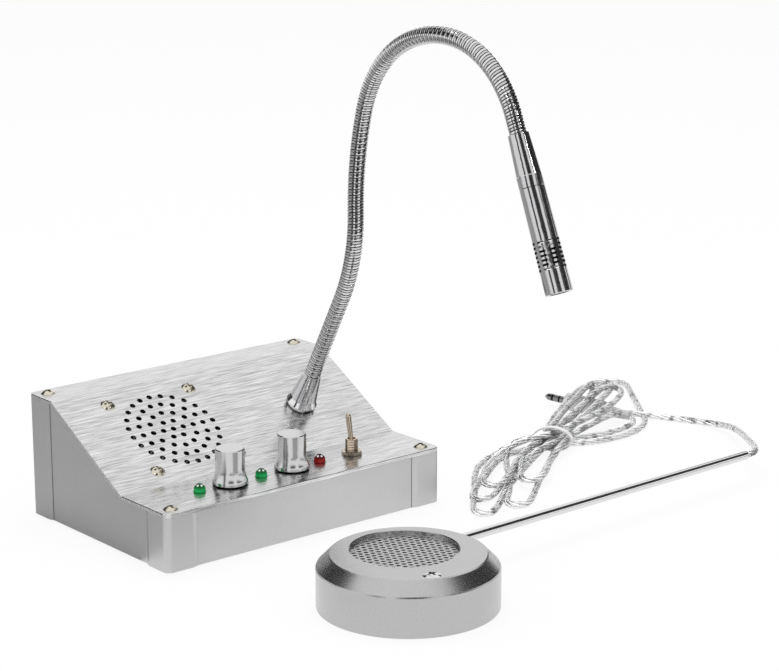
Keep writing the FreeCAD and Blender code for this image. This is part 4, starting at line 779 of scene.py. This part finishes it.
def seen_by_mirror(graph):
    """1 for rays from the camera, and for rays that a polished or clear piece sends on."""
    straight, polished, clear = (graph.node("ShaderNodeLightPath", output=kind)
                                 for kind in ("Is Camera Ray", "Is Glossy Ray", "Is Transmission Ray"))
    return graph.maths("MAXIMUM", graph.maths("MAXIMUM", straight, polished), clear)


def make_world():
    """White where it is seen, and a softer light on the object."""
    world = bpy.data.worlds.new("studio")
    graph = Graph(world)
    graph.nodes.clear()
    soft, white = (graph.node("ShaderNodeBackground", {}, {"Color": (1, 1, 1, 1), "Strength": strength})
                   for strength in (AMBIENT, 1.0))
    sky = graph.node("ShaderNodeMixShader", {}, {0: seen_by_mirror(graph), 1: soft, 2: white})
    graph.plug(sky, graph.nodes.new("ShaderNodeOutputWorld").inputs["Surface"])
    bpy.context.scene.world = world


def make_light(name, at, size, power, mirrored):
    data = bpy.data.lights.new(name, "AREA")
    data.shape = "DISK"
    data.size = size
    data.energy = power
    lamp = put(name, data)
    lamp.location = at
    lamp.visible_glossy = mirrored
    lamp.rotation_euler = (Vector(AIM) - Vector(at)).to_track_quat("-Z", "Y").to_euler()


def plain_paint(name, tone, roughness):
    return Finish(name, (tone, tone, tone), Roughness=roughness)


def make_floor():
    paint = plain_paint("pale_floor", FLOOR_TONE, FLOOR_ROUGHNESS)
    lit = Signal(paint, paint.shader.outputs["BSDF"])
    glow = paint.node("ShaderNodeEmission", {}, {"Strength": 1.0})
    share = seen_by_mirror(paint) * FLOOR_GLOW
    both = paint.node("ShaderNodeMixShader", {}, {0: share, 1: lit, 2: glow})
    paint.plug(both, paint.nodes["Material Output"].inputs["Surface"])
    bm = bmesh.new()
    bmesh.ops.create_grid(bm, x_segments=1, y_segments=1, size=FLOOR_HALF)
    floor = put_mesh("floor", bm, paint.material)
    floor.location = (0, 0, (COUNTER_Z - FLOOR_DROP) * MM)


def make_panel(name, start, end, tone, first, last):
    """Part of a ring round the object, swept between two (radius, height) points."""
    azimuth = math.radians(CAMERA_AZIMUTH + start) - math.pi / 2
    bm = bmesh.new()
    ends = [bm.verts.new((r * math.cos(azimuth), r * math.sin(azimuth), z)) for r, z in (first, last)]
    edge = bm.edges.new(ends)
    bmesh.ops.spin(bm, geom=[*ends, edge], cent=(0, 0, 0), axis=(0, 0, 1), dvec=(0, 0, 0),
                   angle=math.radians(end - start), steps=RING_STEPS, use_duplicate=False)
    panel = put_mesh(name, bm, plain_paint(name, tone, 1.0).material)
    panel.location = (*RING_CENTRE, (COUNTER_Z + RING_RISE) * MM)
    panel.visible_camera = False
    panel.visible_shadow = False
    panel.visible_diffuse = False
    panel.visible_transmission = False


# ---------------------------------------------------------------- making
for finish_name, node_names in FINISH_OF.items():
    for node_name in node_names:
        dress(node_name, finish_name)
make_camera()
make_cord()
make_neck()
make_world()
make_floor()
for light in LIGHTS:
    make_light(*light)
for number, (start, end, low, high, tone) in enumerate(WALLS):
    make_panel(f"dark_wall_{number + 1}", start, end, tone, (RING_R, low), (RING_R, high))
for number, (start, end, inner, tone) in enumerate(SURROUNDS):
    make_panel(f"dark_floor_{number + 1}", start, end, tone, (inner, 0.0), (RING_R, 0.0))

# ---------------------------------------------------------------- end
bpy.context.scene.view_settings.view_transform = "Standard"
